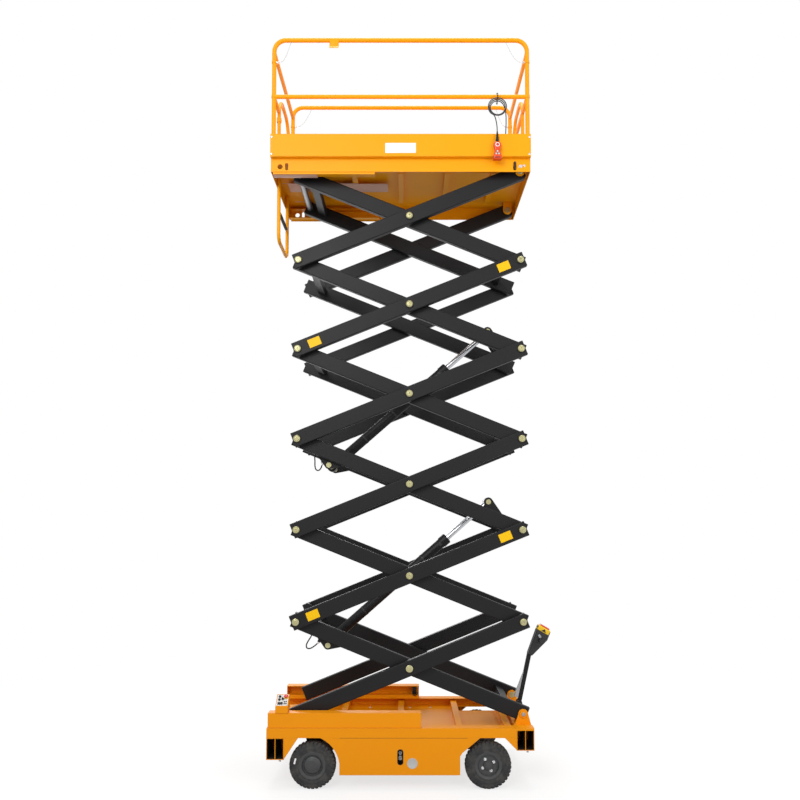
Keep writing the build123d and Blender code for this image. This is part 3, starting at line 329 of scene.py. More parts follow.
class Effects:
    """The effects that several finishes share, each a node group built once."""

    def __init__(self) -> None:
        """Builds every group."""
        self.edges = self._edges()
        self.skin = self._skin()
        self.dust = self._dust()
        self.streaks = self._streaks()

    @staticmethod
    def _edges() -> bpy.types.NodeTree:
        """Rounded normals at sharp edges, and a broken mask on them of wear, which on the black coat is
        partly painted highlight along the edges.

        Returns:
            The group.
        """
        group, s, ins, outs = new_group(
            "rounded_edges",
            [("Radius", FLOAT, 0.003), ("Wear", FLOAT, 0.3), ("Break Scale", FLOAT, 9.0)],
            [("Normal", VECTOR), ("Worn", FLOAT)],
        )
        bevel = s.add("Bevel", samples=4)
        s.link(ins.outputs["Radius"], bevel.inputs["Radius"])
        face = s.add("NewGeometry")
        dot = s.add("VectorMath", operation="DOT_PRODUCT")
        s.link(bevel.outputs["Normal"], dot.inputs[0])
        s.link(face.outputs["Normal"], dot.inputs[1])
        bend = s.ramp(s.math("SUBTRACT", 1.0, dot.outputs["Value"]), 0.02, 0.22)
        place = s.add("TexCoord").outputs["Object"]
        patch = s.ramp(s.noise(place, ins.outputs["Break Scale"], 2.0), 0.25, 0.62)
        worn_and_highlit = s.math("MULTIPLY", s.math("MULTIPLY", bend, patch), ins.outputs["Wear"])
        s.link(bevel.outputs["Normal"], outs.inputs["Normal"])
        s.link(worn_and_highlit, outs.inputs["Worn"])
        return group

    @staticmethod
    def _skin() -> bpy.types.NodeTree:
        """The fine relief of a coat or a moulding, and slow changes of tone and gloss.

        Returns:
            The group.
        """
        group, s, ins, outs = new_group(
            "skin",
            [
                ("Fine Scale", FLOAT, 420.0),
                ("Broad Scale", FLOAT, 2.2),
                ("Tone", FLOAT, 0.06),
                ("Gloss Spread", FLOAT, 0.08),
            ],
            [("Relief", FLOAT), ("Tone", FLOAT), ("Gloss", FLOAT)],
        )
        place = s.add("TexCoord").outputs["Object"]
        fine = s.noise(place, ins.outputs["Fine Scale"], 2.0)
        broad = s.noise(place, ins.outputs["Broad Scale"], 3.0)
        middle = s.math("SUBTRACT", broad, 0.5)
        s.link(fine, outs.inputs["Relief"])
        s.link(s.math("MULTIPLY_ADD", middle, ins.outputs["Tone"], 1.0), outs.inputs["Tone"])
        s.link(s.math("MULTIPLY", middle, ins.outputs["Gloss Spread"]), outs.inputs["Gloss"])
        return group

    @staticmethod
    def _dust() -> bpy.types.NodeTree:
        """Dust that settles on what faces up, and marks near the floor.

        Returns:
            The group.
        """
        group, s, ins, outs = new_group(
            "settled_dust",
            [("Amount", FLOAT, 0.2), ("Scale", FLOAT, 14.0), ("Low Reach", FLOAT, 0.35)],
            [("Dust", FLOAT)],
        )
        geometry = s.add("NewGeometry")
        parts = s.add("SeparateXYZ")
        s.link(geometry.outputs["Normal"], parts.inputs[0])
        place = s.add("TexCoord").outputs["Object"]
        height = s.add("SeparateXYZ")
        s.link(place, height.inputs[0])
        up = s.ramp(parts.outputs["Z"], 0.45, 0.95)
        low = s.math("SUBTRACT", 1.0, s.math("DIVIDE", height.outputs["Z"], ins.outputs["Low Reach"]))
        low = s.math("MULTIPLY", s.ramp(low, 0.0, 1.0), 0.8)
        patch = s.ramp(s.noise(place, ins.outputs["Scale"], 5.0, 0.62), 0.35, 0.72)
        both = s.math("MULTIPLY", s.math("MAXIMUM", up, low), patch)
        s.link(s.math("MULTIPLY", both, ins.outputs["Amount"]), outs.inputs["Dust"])
        return group

    @staticmethod
    def _streaks() -> bpy.types.NodeTree:
        """Fine lines along one direction, as a ground, drawn or wiped surface has.

        Returns:
            The group.
        """
        group, s, ins, outs = new_group(
            "fine_streaks",
            [("Stretch", VECTOR, (1.0, 1.0, 0.05)), ("Scale", FLOAT, 300.0), ("Depth", FLOAT, 0.5)],
            [("Line", FLOAT), ("Relief", FLOAT)],
        )
        place = s.add("TexCoord").outputs["Object"]
        squeeze = s.add("VectorMath", operation="MULTIPLY")
        s.link(place, squeeze.inputs[0])
        s.link(ins.outputs["Stretch"], squeeze.inputs[1])
        line = s.noise(squeeze.outputs["Vector"], ins.outputs["Scale"], 3.0, 0.7)
        s.link(line, outs.inputs["Line"])
        s.link(s.math("MULTIPLY", line, ins.outputs["Depth"]), outs.inputs["Relief"])
        return group


def colour(hex_code: str) -> tuple[float, float, float, float]:
    """A linear colour from a six-digit screen colour.

    Args:
        hex_code: two digits each of red, green and blue.

    Returns:
        Red, green, blue and an alpha of 1.
    """
    parts = [int(hex_code[i : i + 2], 16) / 255 for i in (0, 2, 4)]
    line = [v / 12.92 if v <= 0.04045 else ((v + 0.055) / 1.055) ** 2.4 for v in parts]
    return (*line, 1.0)


@dataclass(frozen=True)
class Finish:
    """A surface: its colour, gloss, relief, edge wear (on the black coat partly painted highlight) and dust.
    """

    name: str
    tint: str
    roughness: float = 0.4
    metallic: float = 0.0
    coat: float = 0.0
    specular: float = 0.5
    tone: float = 0.08
    gloss_spread: float = 0.12
    relief_scale: float = 420.0
    relief_depth: float = 0.0002
    edge_radius: float = 0.003
    wear: float = 0.0
    wear_tint: str = "8c8c8c"
    dust: float = 0.0
    dust_tint: str = "b7ada0"
    streak: tuple[float, float, float] | None = None
    streak_scale: float = 300.0
    streak_depth: float = 0.15

    def make(self, effects: Effects) -> Material:
        """Builds the material.

        Args:
            effects: the shared groups.

        Returns:
            The new material.
        """
        material = bpy.data.materials.new(self.name)
        material.use_nodes = True
        tree = material.node_tree
        tree.nodes.clear()
        s = NodeSheet(tree)
        out = s.add("OutputMaterial")
        shader = s.add("BsdfPrincipled")
        s.link(shader.outputs[0], out.inputs["Surface"])
        shader.inputs["Metallic"].default_value = self.metallic
        shader.inputs["Specular IOR Level"].default_value = self.specular
        shader.inputs["Coat Weight"].default_value = self.coat
        shader.inputs["Coat Roughness"].default_value = 0.12

        skin = s.add("Group", node_tree=effects.skin)
        skin.inputs["Fine Scale"].default_value = self.relief_scale
        skin.inputs["Tone"].default_value = self.tone
        skin.inputs["Gloss Spread"].default_value = self.gloss_spread
        edges = s.add("Group", node_tree=effects.edges)
        edges.inputs["Radius"].default_value = self.edge_radius
        edges.inputs["Wear"].default_value = self.wear

        toned = s.add("HueSaturation")
        toned.inputs["Color"].default_value = colour(self.tint)
        s.link(skin.outputs["Tone"], toned.inputs["Value"])
        base = toned.outputs["Color"]
        rough = s.math("ADD", skin.outputs["Gloss"], self.roughness)
        relief = s.math("MULTIPLY", skin.outputs["Relief"], self.relief_depth * 1000)
        if self.streak is not None:
            lines = s.add("Group", node_tree=effects.streaks)
            lines.inputs["Stretch"].default_value = self.streak
            lines.inputs["Scale"].default_value = self.streak_scale
            share = s.math("MULTIPLY", lines.outputs["Line"], self.streak_depth * 2)
            base = s.mix(share, base, (0.02, 0.02, 0.02, 1))
            rough = s.math("MULTIPLY_ADD", lines.outputs["Line"], self.streak_depth, rough)
            relief = s.math("MULTIPLY_ADD", lines.outputs["Relief"], 0.08, relief)
        # worn edges take the edge tint; on the black coat this tint is partly a painted highlight along the
        # edges
        if self.wear > 0:
            base = s.mix(edges.outputs["Worn"], base, colour(self.wear_tint))
            rough = s.math("MULTIPLY_ADD", edges.outputs["Worn"], 0.12, rough)
        if self.dust > 0:
            dust = s.add("Group", node_tree=effects.dust)
            dust.inputs["Amount"].default_value = self.dust
            base = s.mix(dust.outputs["Dust"], base, colour(self.dust_tint))
            rough = s.math("MULTIPLY_ADD", dust.outputs["Dust"], 0.35, rough)
        bump = s.add("Bump")
        bump.inputs["Strength"].default_value = 0.35
        bump.inputs["Distance"].default_value = 0.001
        s.link(relief, bump.inputs["Height"])
        s.link(edges.outputs["Normal"], bump.inputs["Normal"])
        s.link(base, shader.inputs["Base Color"])
        s.link(rough, shader.inputs["Roughness"])
        s.link(bump.outputs["Normal"], shader.inputs["Normal"])
        return material


class Coat(Enum):
    """Every finish on the machine."""

    ORANGE = Finish("orange_powder_coat", "ee9400", roughness=0.42, specular=0.22, tone=0.05,
                    gloss_spread=0.1, relief_scale=240, relief_depth=0.00035, edge_radius=0.004,
                    wear=0.25, wear_tint="c9700a", dust=0.03, dust_tint="c99a50")
    # The same orange paint as the chassis, painted lighter and yellower to stand in for the stronger light on
    # the platform.
    SUNNY = Finish("platform_powder_coat", "fba700", roughness=0.42, specular=0.22, tone=0.05,
                   gloss_spread=0.1, relief_scale=240, relief_depth=0.00035, edge_radius=0.004, wear=0.2,
                   wear_tint="d98509", dust=0.02, dust_tint="c99a50")
    # Pale pinkish finish for strips under the platform: a painted reflection of light on the underside's
    # flanges.
    UNDERSIDE = Finish("thin_primer_coat", "dcae9a", roughness=0.55, tone=0.2, relief_depth=0.0003)
    # The grey on this coat's edges is partly wear and partly painted highlight, the light that catches the
    # arms' upper edges.
    BLACK = Finish("black_powder_coat", "161618", roughness=0.46, specular=0.26, tone=0.25,
                   gloss_spread=0.14, relief_scale=260, relief_depth=0.0003, edge_radius=0.004,
                   wear=0.55, wear_tint="6b6c70", dust=0.03, dust_tint="5f5c58")
    RIM = Finish("dark_rim_paint", "3b3c3e", roughness=0.45, tone=0.12, relief_depth=0.0003, wear=0.4,
                 wear_tint="7c7d80", dust=0.22, dust_tint="77736c")
    TYRE = Finish("tyre_rubber", "2f3032", roughness=0.78, specular=0.3, tone=0.2, relief_scale=180,
                  relief_depth=0.0007, edge_radius=0.002, wear=0.35, wear_tint="5a5854", dust=0.35,
                  dust_tint="77726a")
    ZINC = Finish("yellow_zinc_plate", "bdb88a", roughness=0.36, metallic=0.6, tone=0.35,
                  relief_scale=500, edge_radius=0.0015, wear=0.35, wear_tint="77714f")
    STEEL = Finish("ground_steel", "b4b6ba", roughness=0.32, metallic=0.9, tone=0.12,
                   relief_depth=0.0001, streak=(1.0, 0.04, 1.0), streak_depth=0.12, wear=0.1)
    BRIGHT = Finish("bright_zinc", "dfe0e2", roughness=0.26, metallic=0.85, tone=0.1,
                    relief_depth=0.0001, edge_radius=0.0012)
    CHROME = Finish("hard_chrome", "d2d4d8", roughness=0.14, metallic=1.0, tone=0.05,
                    relief_depth=0.00005, streak=(1.0, 1.0, 0.6), streak_scale=60, streak_depth=0.015)
    BLACK_PLASTIC = Finish("moulded_black_plastic", "232325", roughness=0.5, tone=0.15, relief_scale=700,
                           relief_depth=0.0005, wear=0.3, wear_tint="4c4c50", streak=(1.0, 0.3, 1.0),
                           streak_scale=24, streak_depth=0.05)
    GREY_PLASTIC = Finish("moulded_grey_plastic", "a9acb0", roughness=0.42, tone=0.1, relief_scale=700,
                          relief_depth=0.0004, wear=0.15, wear_tint="d2d2d2")
    PALE_PANEL = Finish("pale_control_panel", "d9d7d2", roughness=0.35, edge_radius=0.001)
    RED = Finish("red_button", "d3201a", roughness=0.28, coat=0.4, relief_depth=0.0001,
                 edge_radius=0.002)
    PENDANT = Finish("red_orange_moulding", "e84404", roughness=0.36, coat=0.2, tone=0.1,
                     relief_scale=800, relief_depth=0.0004, wear=0.2, wear_tint="f08a63")
    YELLOW = Finish("yellow_ring", "f2c615", roughness=0.35, tone=0.06, relief_depth=0.0001)
    RUBBER = Finish("black_rubber_sheath", "1b1b1d", roughness=0.6, specular=0.35, tone=0.2,
                    relief_scale=900, relief_depth=0.0004, edge_radius=0.001)
    CORD = Finish("grey_black_cord", "2e3134", roughness=0.5, tone=0.15, relief_scale=1200,
                  edge_radius=0.001)
    WIRE = Finish("galvanised_wire", "b9bcc0", roughness=0.35, metallic=0.8, tone=0.1,
                  streak=(1.0, 1.0, 1.0), streak_scale=600, streak_depth=0.1)
    LABEL_YELLOW = Finish("yellow_blank_label", "f7c200", roughness=0.42, specular=0.25,
                          relief_depth=0.0001, edge_radius=0.001, wear=0.2, wear_tint="c79a1c")
    LABEL_WHITE = Finish("white_blank_plate", "f3f3f3", roughness=0.32, tone=0.03, relief_depth=0.0001,
                         edge_radius=0.001)
    LABEL_GREY = Finish("grey_blank_disc", "b9bab9", tone=0.1, relief_depth=0.0001, edge_radius=0.001)
    # Dark for the joints and the socket tub, and painted shade inside the outrigger sleeves.
    DARK = Finish("dark_recess", "17140f", roughness=0.7, tone=0.1)
    GRIT = Finish("grit_coat", "3a3a3a", roughness=0.8, relief_scale=900, relief_depth=0.0012, tone=0.2)


@cache
def shared_effects() -> Effects:
    """The groups that the finishes share, built once."""
    return Effects()


@cache
def material_of(coat: Coat) -> Material:
    """The material of a finish, made when it is first asked for."""
    return coat.value.make(shared_effects())


# ---------- shaping
def skin_rings(made: Draft, rings: Sequence[Sequence[Corner]], closed: bool = False) -> None:
    """Joins a run of rings with faces, and caps its ends where it is open.

    Args:
        made: the mesh that holds them.
        rings: as many corners in each.
        closed: joins the last ring to the first.
    """
    count = len(rings[0])
    pairs = list(zip(rings, rings[1:])) + ([(rings[-1], rings[0])] if closed else [])
    for low, high in pairs:
        for k in range(count):
            n = (k + 1) % count
            made.faces.new((low[k], low[n], high[n], high[k]))
    if not closed:
        made.faces.new(list(reversed(rings[0])))
        made.faces.new(rings[-1])


class Workpiece:
    """One mesh being made from blocks, sheets, turnings, pipes and bolts."""

    def __init__(self) -> None:
        """Starts an empty mesh."""
        self.mesh = bmesh.new()

    def merge(self, made: Draft, frame: Matrix | None = None) -> None:
        """Moves a finished part into place and keeps it.

        Args:
            made: the part's mesh, which is used up.
            frame: local frame, or the row frame.
        """
        bmesh.ops.recalc_face_normals(made, faces=made.faces)
        made.transform(frame or Matrix.Identity(4))
        data = bpy.data.meshes.new("part")
        made.to_mesh(data)
        made.free()
        self.mesh.from_mesh(data)
        bpy.data.meshes.remove(data)

    def block(
        self, lo: Point, hi: Point, round_by: float = 0.002, steps: int = 2, frame: Matrix | None = None
    ) -> Workpiece:
        """A block with rounded edges.

        Args:
            lo: lowest corner in the frame.
            hi: highest corner in the frame.
            round_by: radius of its edges.
            steps: segments of the rounding.
            frame: local frame, or the row frame.

        Returns:
            This workpiece.
        """
        made = bmesh.new()
        bmesh.ops.create_cube(made, size=1.0)
        size = Vector(hi) - Vector(lo)
        middle = (Vector(hi) + Vector(lo)) / 2
        bmesh.ops.scale(made, vec=size, verts=made.verts)
        bmesh.ops.translate(made, vec=middle, verts=made.verts)
        if round_by > 0:
            bmesh.ops.bevel(
                made, geom=made.edges[:], offset=min(round_by, min(size) * 0.45), segments=steps,
                profile=0.5, affect="EDGES",
            )
        self.merge(made, frame)
        return self

    def sheet(self, outline: Sequence[Pair], depth: float, frame: Matrix) -> Workpiece:
        """A flat outline given a thickness along the frame's Z.

        Args:
            outline: corners in order.
            depth: thickness.
            frame: local frame of the outline.

        Returns:
            This workpiece.
        """
        made = bmesh.new()
        ring = [made.verts.new((x, y, 0.0)) for x, y in outline]
        face = made.faces.new(ring)
        grown = bmesh.ops.extrude_face_region(made, geom=[face])
        tops = [v for v in grown["geom"] if isinstance(v, Corner)]
        bmesh.ops.translate(made, vec=(0, 0, depth), verts=tops)
        self.merge(made, frame)
        return self

    def turned(self, profile: Sequence[Pair], frame: Matrix, segments: int = 32) -> Workpiece:
        """A profile turned about the frame's Z.

        Args:
            profile: radius and height of each point; a radius of 0 closes it.
            frame: local frame.
            segments: sides of the turning.

        Returns:
            This workpiece.
        """
        made = bmesh.new()
        turns = [2 * math.pi * k / segments for k in range(segments)]
        rings: list[list[Corner]] = []
        for radius, height in profile:
            spots = [(radius * math.cos(a), radius * math.sin(a), height) for a in turns]
            if radius <= 1e-6:
                spots = [(0, 0, height)]
            rings.append([made.verts.new(spot) for spot in spots])
        for low, high in zip(rings, rings[1:]):
            for k in range(segments):
                n = (k + 1) % segments
                if len(low) == 1 and len(high) > 1:
                    made.faces.new((low[0], high[n], high[k]))
                elif len(high) == 1 and len(low) > 1:
                    made.faces.new((low[k], low[n], high[0]))
                elif len(low) > 1:
                    made.faces.new((low[k], low[n], high[n], high[k]))
        for ring in (rings[0], rings[-1]):
            if len(ring) > 1 and profile[0] != profile[-1]:
                made.faces.new(ring)
        self.merge(made, frame)
        return self

    def stub(self, radius: float, low: float, high: float, frame: Matrix, sides: int) -> Workpiece:
        """A turned stub between two heights."""
        return self.turned([(0, low), (radius, low), (radius, high), (0, high)], frame, sides)

    def capped(self, radius: float, low: float, shoulder: float, top: Pair, frame: Matrix,
               sides: int) -> Workpiece:
        """A stub up to its shoulder, chamfered in to the radius and height of its top."""
        return self.turned([(0, low), (radius, low), (radius, shoulder), top, (0, top[1])], frame, sides)

    def pipe(self, route: Sequence[Point], radius: float, sides: int = 12,
             closed: bool = False) -> Workpiece:
        """A bent pipe along a route.

        Args:
            route: points in the row frame.
            radius: of the pipe.
            sides: of its section.
            closed: joins the last point to the first.

        Returns:
            This workpiece.
        """
        points = [Vector(p) for p in route]
        made = bmesh.new()
        turns = [2 * math.pi * k / sides for k in range(sides)]
        rings = []
        side: Vector | None = None
        count = len(points)
        for k, point in enumerate(points):
            before = points[k - 1] if k or closed else point
            after = points[(k + 1) % count] if k < count - 1 or closed else point
            run = (after - before).normalized()
            if side is None:
                side = run.orthogonal().normalized()
            side = (side - run * side.dot(run)).normalized()
            other = run.cross(side)
            rings.append([
                made.verts.new(point + side * radius * math.cos(a) + other * radius * math.sin(a))
                for a in turns
            ])
        skin_rings(made, rings, closed)
        self.merge(made)
        return self

    def bolt(self, frame: Matrix, across: float, tall: float, washer: float = 1.35) -> Workpiece:
        """A six-sided head on its washer.

        Args:
            frame: where its foot stands, Z pointing out.
            across: width over its corners.
            tall: height of the head.
            washer: the washer's width as a share of the head's.

        Returns:
            This workpiece.
        """
        r = across / 2
        base = tall * 0.22
        self.capped(r * washer, 0, base * 0.8, (r * washer * 0.96, base), frame, 24)
        self.capped(r, base, tall * 0.86, (r * 0.86, tall), frame, 6)
        return self

    def done(
        self, name: str, coat: Coat, body: str, slot: str | None = None, smooth: float = 35.0
    ) -> Piece:
        """Ends the work and puts the piece on its body.

        Args:
            name: the piece's name.
            coat: its finish.
            body: the body it rides on.
            slot: the record's material slot, if it has one; not used.
            smooth: angle in degrees past which an edge stays sharp.

        Returns:
            The new object.
        """
        data = bpy.data.meshes.new(name)
        bmesh.ops.remove_doubles(self.mesh, verts=self.mesh.verts, dist=1e-6)
        self.mesh.to_mesh(data)
        self.mesh.free()
        data.shade_smooth()
        data.set_sharp_from_angle(angle=math.radians(smooth))
        data.materials.append(material_of(coat))
        piece = bpy.data.objects.new(name, data)
        bpy.context.scene.collection.objects.link(piece)
        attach(piece, body)
        log.info("%s: %d faces on %s", name, len(data.polygons), body)
        return piece


def smooth_line(name: str, points: Sequence[Point], radius: float, coat: Coat) -> Piece:
    """A flexible line: one open NURBS spline through its route, bevelled.

    Args:
        name: the piece's name.
        points: the route's control points in the row frame.
        radius: of the line.
        coat: its finish.

    Returns:
        The curve object.
    """
    data = bpy.data.curves.new(name, "CURVE")
    data.dimensions = "3D"
    data.resolution_u = 6
    data.bevel_depth = radius
    data.bevel_resolution = 3
    data.use_fill_caps = True
    spline = data.splines.new("NURBS")
    spline.points.add(len(points) - 1)
    for place, point in zip(spline.points, points):
        place.co = (*point, 1.0)
    spline.order_u = 3
    spline.use_endpoint_u = True
    data.materials.append(material_of(coat))
    piece = bpy.data.objects.new(name, data)
    bpy.context.scene.collection.objects.link(piece)
    log.info("%s: a line through %d points", name, len(points))
    return piece


# ---------- studio
@dataclass
class Lamp:
    """One soft box."""

    name: str
    place: Point
    aim: Point
    size: Pair
    power: float


@dataclass
class Studio:
    """Camera, soft boxes, pale floor and the light all round."""

    camera_place: Point = (-0.067, -7.321, 2.419)
    lens: float = 33.39
    pitch: float = 2.91
    shift: Pair = (-0.0084, 0.10)
    world_level: float = 0.62
    floor_size: float = 60.0
    lamps: tuple[Lamp, ...] = (
        Lamp("front_box", (-3.4, -8.5, 7.6), (0.0, 0.0, 4.0), (4.5, 4.5), 420.0),
        Lamp("side_box", (5.2, -6.0, 5.0), (0.0, 0.0, 3.0), (3.0, 6.0), 190.0),
        Lamp("top_box", (0.0, 0.5, 17.0), (0.0, 0.0, 0.0), (7.0, 5.0), 1150.0),
        Lamp("back_box", (-2.0, 8.5, 6.0), (0.0, 0.0, 3.0), (4.0, 5.0), 230.0),
    )

    def build(self) -> None:
        """Sets the whole studio up."""
        self.camera()
        self.world()
        self.floor()
        for lamp in self.lamps:
            self.light(lamp)
        view = bpy.context.scene.view_settings
        view.view_transform = "Standard"

    def camera(self) -> None:
        """Places the camera."""
        data = bpy.data.cameras.new("camera")
        data.sensor_width = 36.0
        data.lens = self.lens
        data.shift_x, data.shift_y = self.shift
        data.clip_end = 200.0
        data.dof.use_dof = False
        eye = bpy.data.objects.new("camera", data)
        eye.location = self.camera_place
        eye.rotation_euler = (math.radians(90.0 + self.pitch), 0.0, 0.0)
        bpy.context.scene.collection.objects.link(eye)
        bpy.context.scene.camera = eye

    def world(self) -> None:
        """An even pale surround that is white where it is seen."""
        world = bpy.data.worlds.new("surround")
        bpy.context.scene.world = world
        world.use_nodes = True
        world.node_tree.nodes.clear()
        s = NodeSheet(world.node_tree)
        seen = s.add("Background")
        seen.inputs["Strength"].default_value = 1.0
        seen.inputs["Color"].default_value = (1, 1, 1, 1)
        lit = s.add("Background")
        lit.inputs["Strength"].default_value = self.world_level
        lit.inputs["Color"].default_value = (1.0, 0.99, 0.975, 1)
        mix = s.add("MixShader")
        s.link(self.seen_by(s), mix.inputs[0])
        s.link(lit.outputs[0], mix.inputs[1])
        s.link(seen.outputs[0], mix.inputs[2])
        out = s.add("OutputWorld")
        s.link(mix.outputs[0], out.inputs["Surface"])

    @staticmethod
    def seen_by(s: NodeSheet) -> Socket:
        """How far a ray sees the surround as it shows itself and not as it lights.

        Args:
            s: the sheet that the nodes go on.

        Returns:
            1 for camera and through-glass rays, 0.55 for mirrored ones and 0 for the others.
        """
        path = s.add("LightPath")
        mirror = s.math("MULTIPLY", path.outputs["Is Glossy Ray"], 0.55)
        some = s.math("MAXIMUM", path.outputs["Is Camera Ray"], mirror)
        return s.math("MAXIMUM", some, path.outputs["Is Transmission Ray"])

    def floor(self) -> None:
        """A pale floor that keeps the machine's soft shadow."""
        half = self.floor_size / 2
        data = bpy.data.meshes.new("studio_floor")
        corners = [(-half, -half, 0), (half, -half, 0), (half, half, 0), (-half, half, 0)]
        data.from_pydata(corners, [], [(0, 1, 2, 3)])
        floor = bpy.data.objects.new("studio_floor", data)
        bpy.context.scene.collection.objects.link(floor)
        floor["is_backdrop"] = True
        material = bpy.data.materials.new("pale_floor")
        material.use_nodes = True
        material.node_tree.nodes.clear()
        s = NodeSheet(material.node_tree)
        lit = s.add("BsdfDiffuse")
        grain = s.noise(s.add("TexCoord").outputs["Object"], 3.0, 2.0)
        tone = s.math("MULTIPLY_ADD", grain, 0.01, 0.93)
        shade = s.add("CombineColor")
        for socket in shade.inputs[:3]:
            s.link(tone, socket)
        s.link(shade.outputs[0], lit.inputs["Color"])
        glow = s.add("Emission")
        glow.inputs["Color"].default_value = (1, 1, 1, 1)
        away = s.add("VectorMath", operation="LENGTH")
        s.link(s.add("TexCoord").outputs["Object"], away.inputs[0])
        seen = s.add("MixShader")
        s.link(s.math("MULTIPLY_ADD", s.ramp(away.outputs["Value"], 2.2, 7.0), 0.28, 0.72), seen.inputs[0])
        s.link(lit.outputs[0], seen.inputs[1])
        s.link(glow.outputs[0], seen.inputs[2])
        dull = s.add("BsdfDiffuse")
        dull.inputs["Color"].default_value = (0.42, 0.42, 0.42, 1)
        mix = s.add("MixShader")
        s.link(self.seen_by(s), mix.inputs[0])
        s.link(dull.outputs[0], mix.inputs[1])
        s.link(seen.outputs[0], mix.inputs[2])
        out = s.add("OutputMaterial")
        s.link(mix.outputs[0], out.inputs["Surface"])
        data.materials.append(material)

    @staticmethod
    def light(lamp: Lamp) -> None:
        """Hangs one soft box.

        Args:
            lamp: its place, aim, size and power.
        """
        data = bpy.data.lights.new(lamp.name, "AREA")
        data.shape = "RECTANGLE"
        data.size, data.size_y = lamp.size
        data.energy = lamp.power
        box = bpy.data.objects.new(lamp.name, data)
        box.location = lamp.place
        aim = Vector(lamp.aim) - Vector(lamp.place)
        box.rotation_mode = "QUATERNION"
        box.rotation_quaternion = aim.to_track_quat("-Z", "Y")
        bpy.context.scene.collection.objects.link(box)


# ---------- cords
@dataclass
class PendantSet:
    """The hand control on its cord: gland, coil under the mid rail, strain relief and housing."""

    pendant_station: float = 894.0
    middle_y: float = -0.6305
    foot_z: float = TOP_Z + 0.037
    cord_radius: float = 0.00475
    coil_centre: tuple[float, float, float] = (902.0, -0.5975, 0.552)
    coil_start: float = 0.0620
    coil_growth: float = 0.0110  # of the radius, each turn
    coil_advance: float = 0.0074  # towards the near side, each turn
    coil_steps: int = 42
    coil_end: float = math.radians(969.0)
    # station, Y, height above the top pins
    rise: tuple[Point, ...] = (
        (981, -0.552, 0.137), (979, -0.551, 0.194), (978, -0.552, 0.254), (981, -0.556, 0.316),
        (984, -0.565, 0.376), (984, -0.580, 0.432), (981, -0.597, 0.488), (974, -0.6, 0.535),
    )
    # the last two points are inside the housing, where the cord is clamped
    fall: tuple[Point, ...] = (
        (872, -0.6155, 0.472), (886, -0.619, 0.418), (893, -0.628, 0.36), (894, -0.6305, 0.308),
        (894, -0.6305, 0.208), (894, -0.6305, 0.108),
    )
    length: float = 2.06
    stop_rise: float = 0.139  # of the stop button's axis over the housing's foot
    # height over the housing's foot, half width, half depth
    sections: tuple[Point, ...] = (
        (0.0, 0.0345, 0.0165), (0.003, 0.0385, 0.0222), (0.012, 0.0400, 0.0255), (0.034, 0.0395, 0.0262),
        (0.052, 0.0345, 0.0245), (0.070, 0.0290, 0.0215), (0.088, 0.0262, 0.0195), (0.104, 0.0275, 0.0188),
        (0.120, 0.0325, 0.0192), (0.138, 0.0355, 0.0192), (0.154, 0.0340, 0.0188), (0.164, 0.0270, 0.0165),
        (0.169, 0.0200, 0.0145), (0.171, 0.0165, 0.0125),
    )
    # height over the housing's foot, distance aside, depth of the face that it stands on
    push_buttons: tuple[Point, ...] = (
        (0.074, 0.0, 0.0222), (0.050, -0.0125, 0.0244), (0.050, 0.0125, 0.0244),
    )

    @property
    def axis(self) -> Pair:
        """X and Y of the housing's axis."""
        return station(self.pendant_station), self.middle_y

    def route(self) -> list[Point]:
        """The cord's control points from the gland, round the coil, to the strain relief.

        Returns:
            The points in the row frame.
        """
        points = [(station(x), y, TOP_Z + z) for x, y, z in self.rise]
        x0, y0, z0 = station(self.coil_centre[0]), self.coil_centre[1], TOP_Z + self.coil_centre[2]
        for step in range(1, self.coil_steps):
            angle = self.coil_end * step / self.coil_steps
            turns = angle / (2 * math.pi)
            radius = self.coil_start + self.coil_growth * turns
            across, up = radius * math.cos(angle), radius * math.sin(angle)
            points.append((x0 + across, y0 - self.coil_advance * turns, z0 + up))
        points += [(station(x), y, TOP_Z + z) for x, y, z in self.fall]
        return points

    def build(self) -> None:
        """Makes the cord and all that is on it."""
        route = self.route()
        cord = smooth_line("pendant_lead", route, self.cord_radius, Coat.CORD)
        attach(cord, "platform")
        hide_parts("pendant_cord", "cord_coil")
        gland = self.gland(route[0])
        relief = self.strain_relief()
        housing = self.housing()
        buttons = self.buttons()
        tie = self.tie()

    def gland(self, foot: Point) -> Piece:
        """The floor gland: flange, six-sided nut and tapered sleeve.

        Args:
            foot: where the cord leaves it.

        Returns:
            The gland.
        """
        work = Workpiece()
        base = placed((foot[0], foot[1], FLOOR_Z), Facing.UP.value)
        work.capped(0.0149, 0, 0.003, (0.0138, 0.0042), base, 32)
        work.capped(0.0135, 0.004, 0.0125, (0.0118, 0.014), base, 6)
        work.turned(
            [(0, 0.0138), (0.0112, 0.0138), (0.0112, 0.02), (0.0102, 0.021), (0.0104, 0.026),
             (0.0088, 0.0275), (0.009, 0.032), (0.0074, 0.034), (0.0074, 0.0425), (0.0062, 0.044),
             (0, 0.044)], base, 28)
        piece = work.done("floor_gland", Coat.BLACK_PLASTIC, "platform", "black_plastic")
        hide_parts("cord_gland")
        return piece

    def strain_relief(self) -> Piece:
        """The ribbed rubber sleeve above the housing.

        Returns:
            The sleeve.
        """
        x, y = self.axis
        work = Workpiece()
        profile: list[Pair] = [(0, 0), (0.0165, 0)]
        ribs = 9
        for k in range(ribs):
            low = 0.004 + k * 0.0102
            wide = 0.0165 - 0.0088 * k / (ribs - 1)
            neck = wide - 0.0022
            profile += [(wide, low), (wide, low + 0.0052), (neck, low + 0.0066), (neck, low + 0.009)]
        profile += [(0.0066, 0.1), (0, 0.1)]
        work.turned(profile, placed((x, y, self.foot_z + 0.171), Facing.UP.value), 28)
        return work.done("strain_relief", Coat.RUBBER, "platform", "black_rubber")

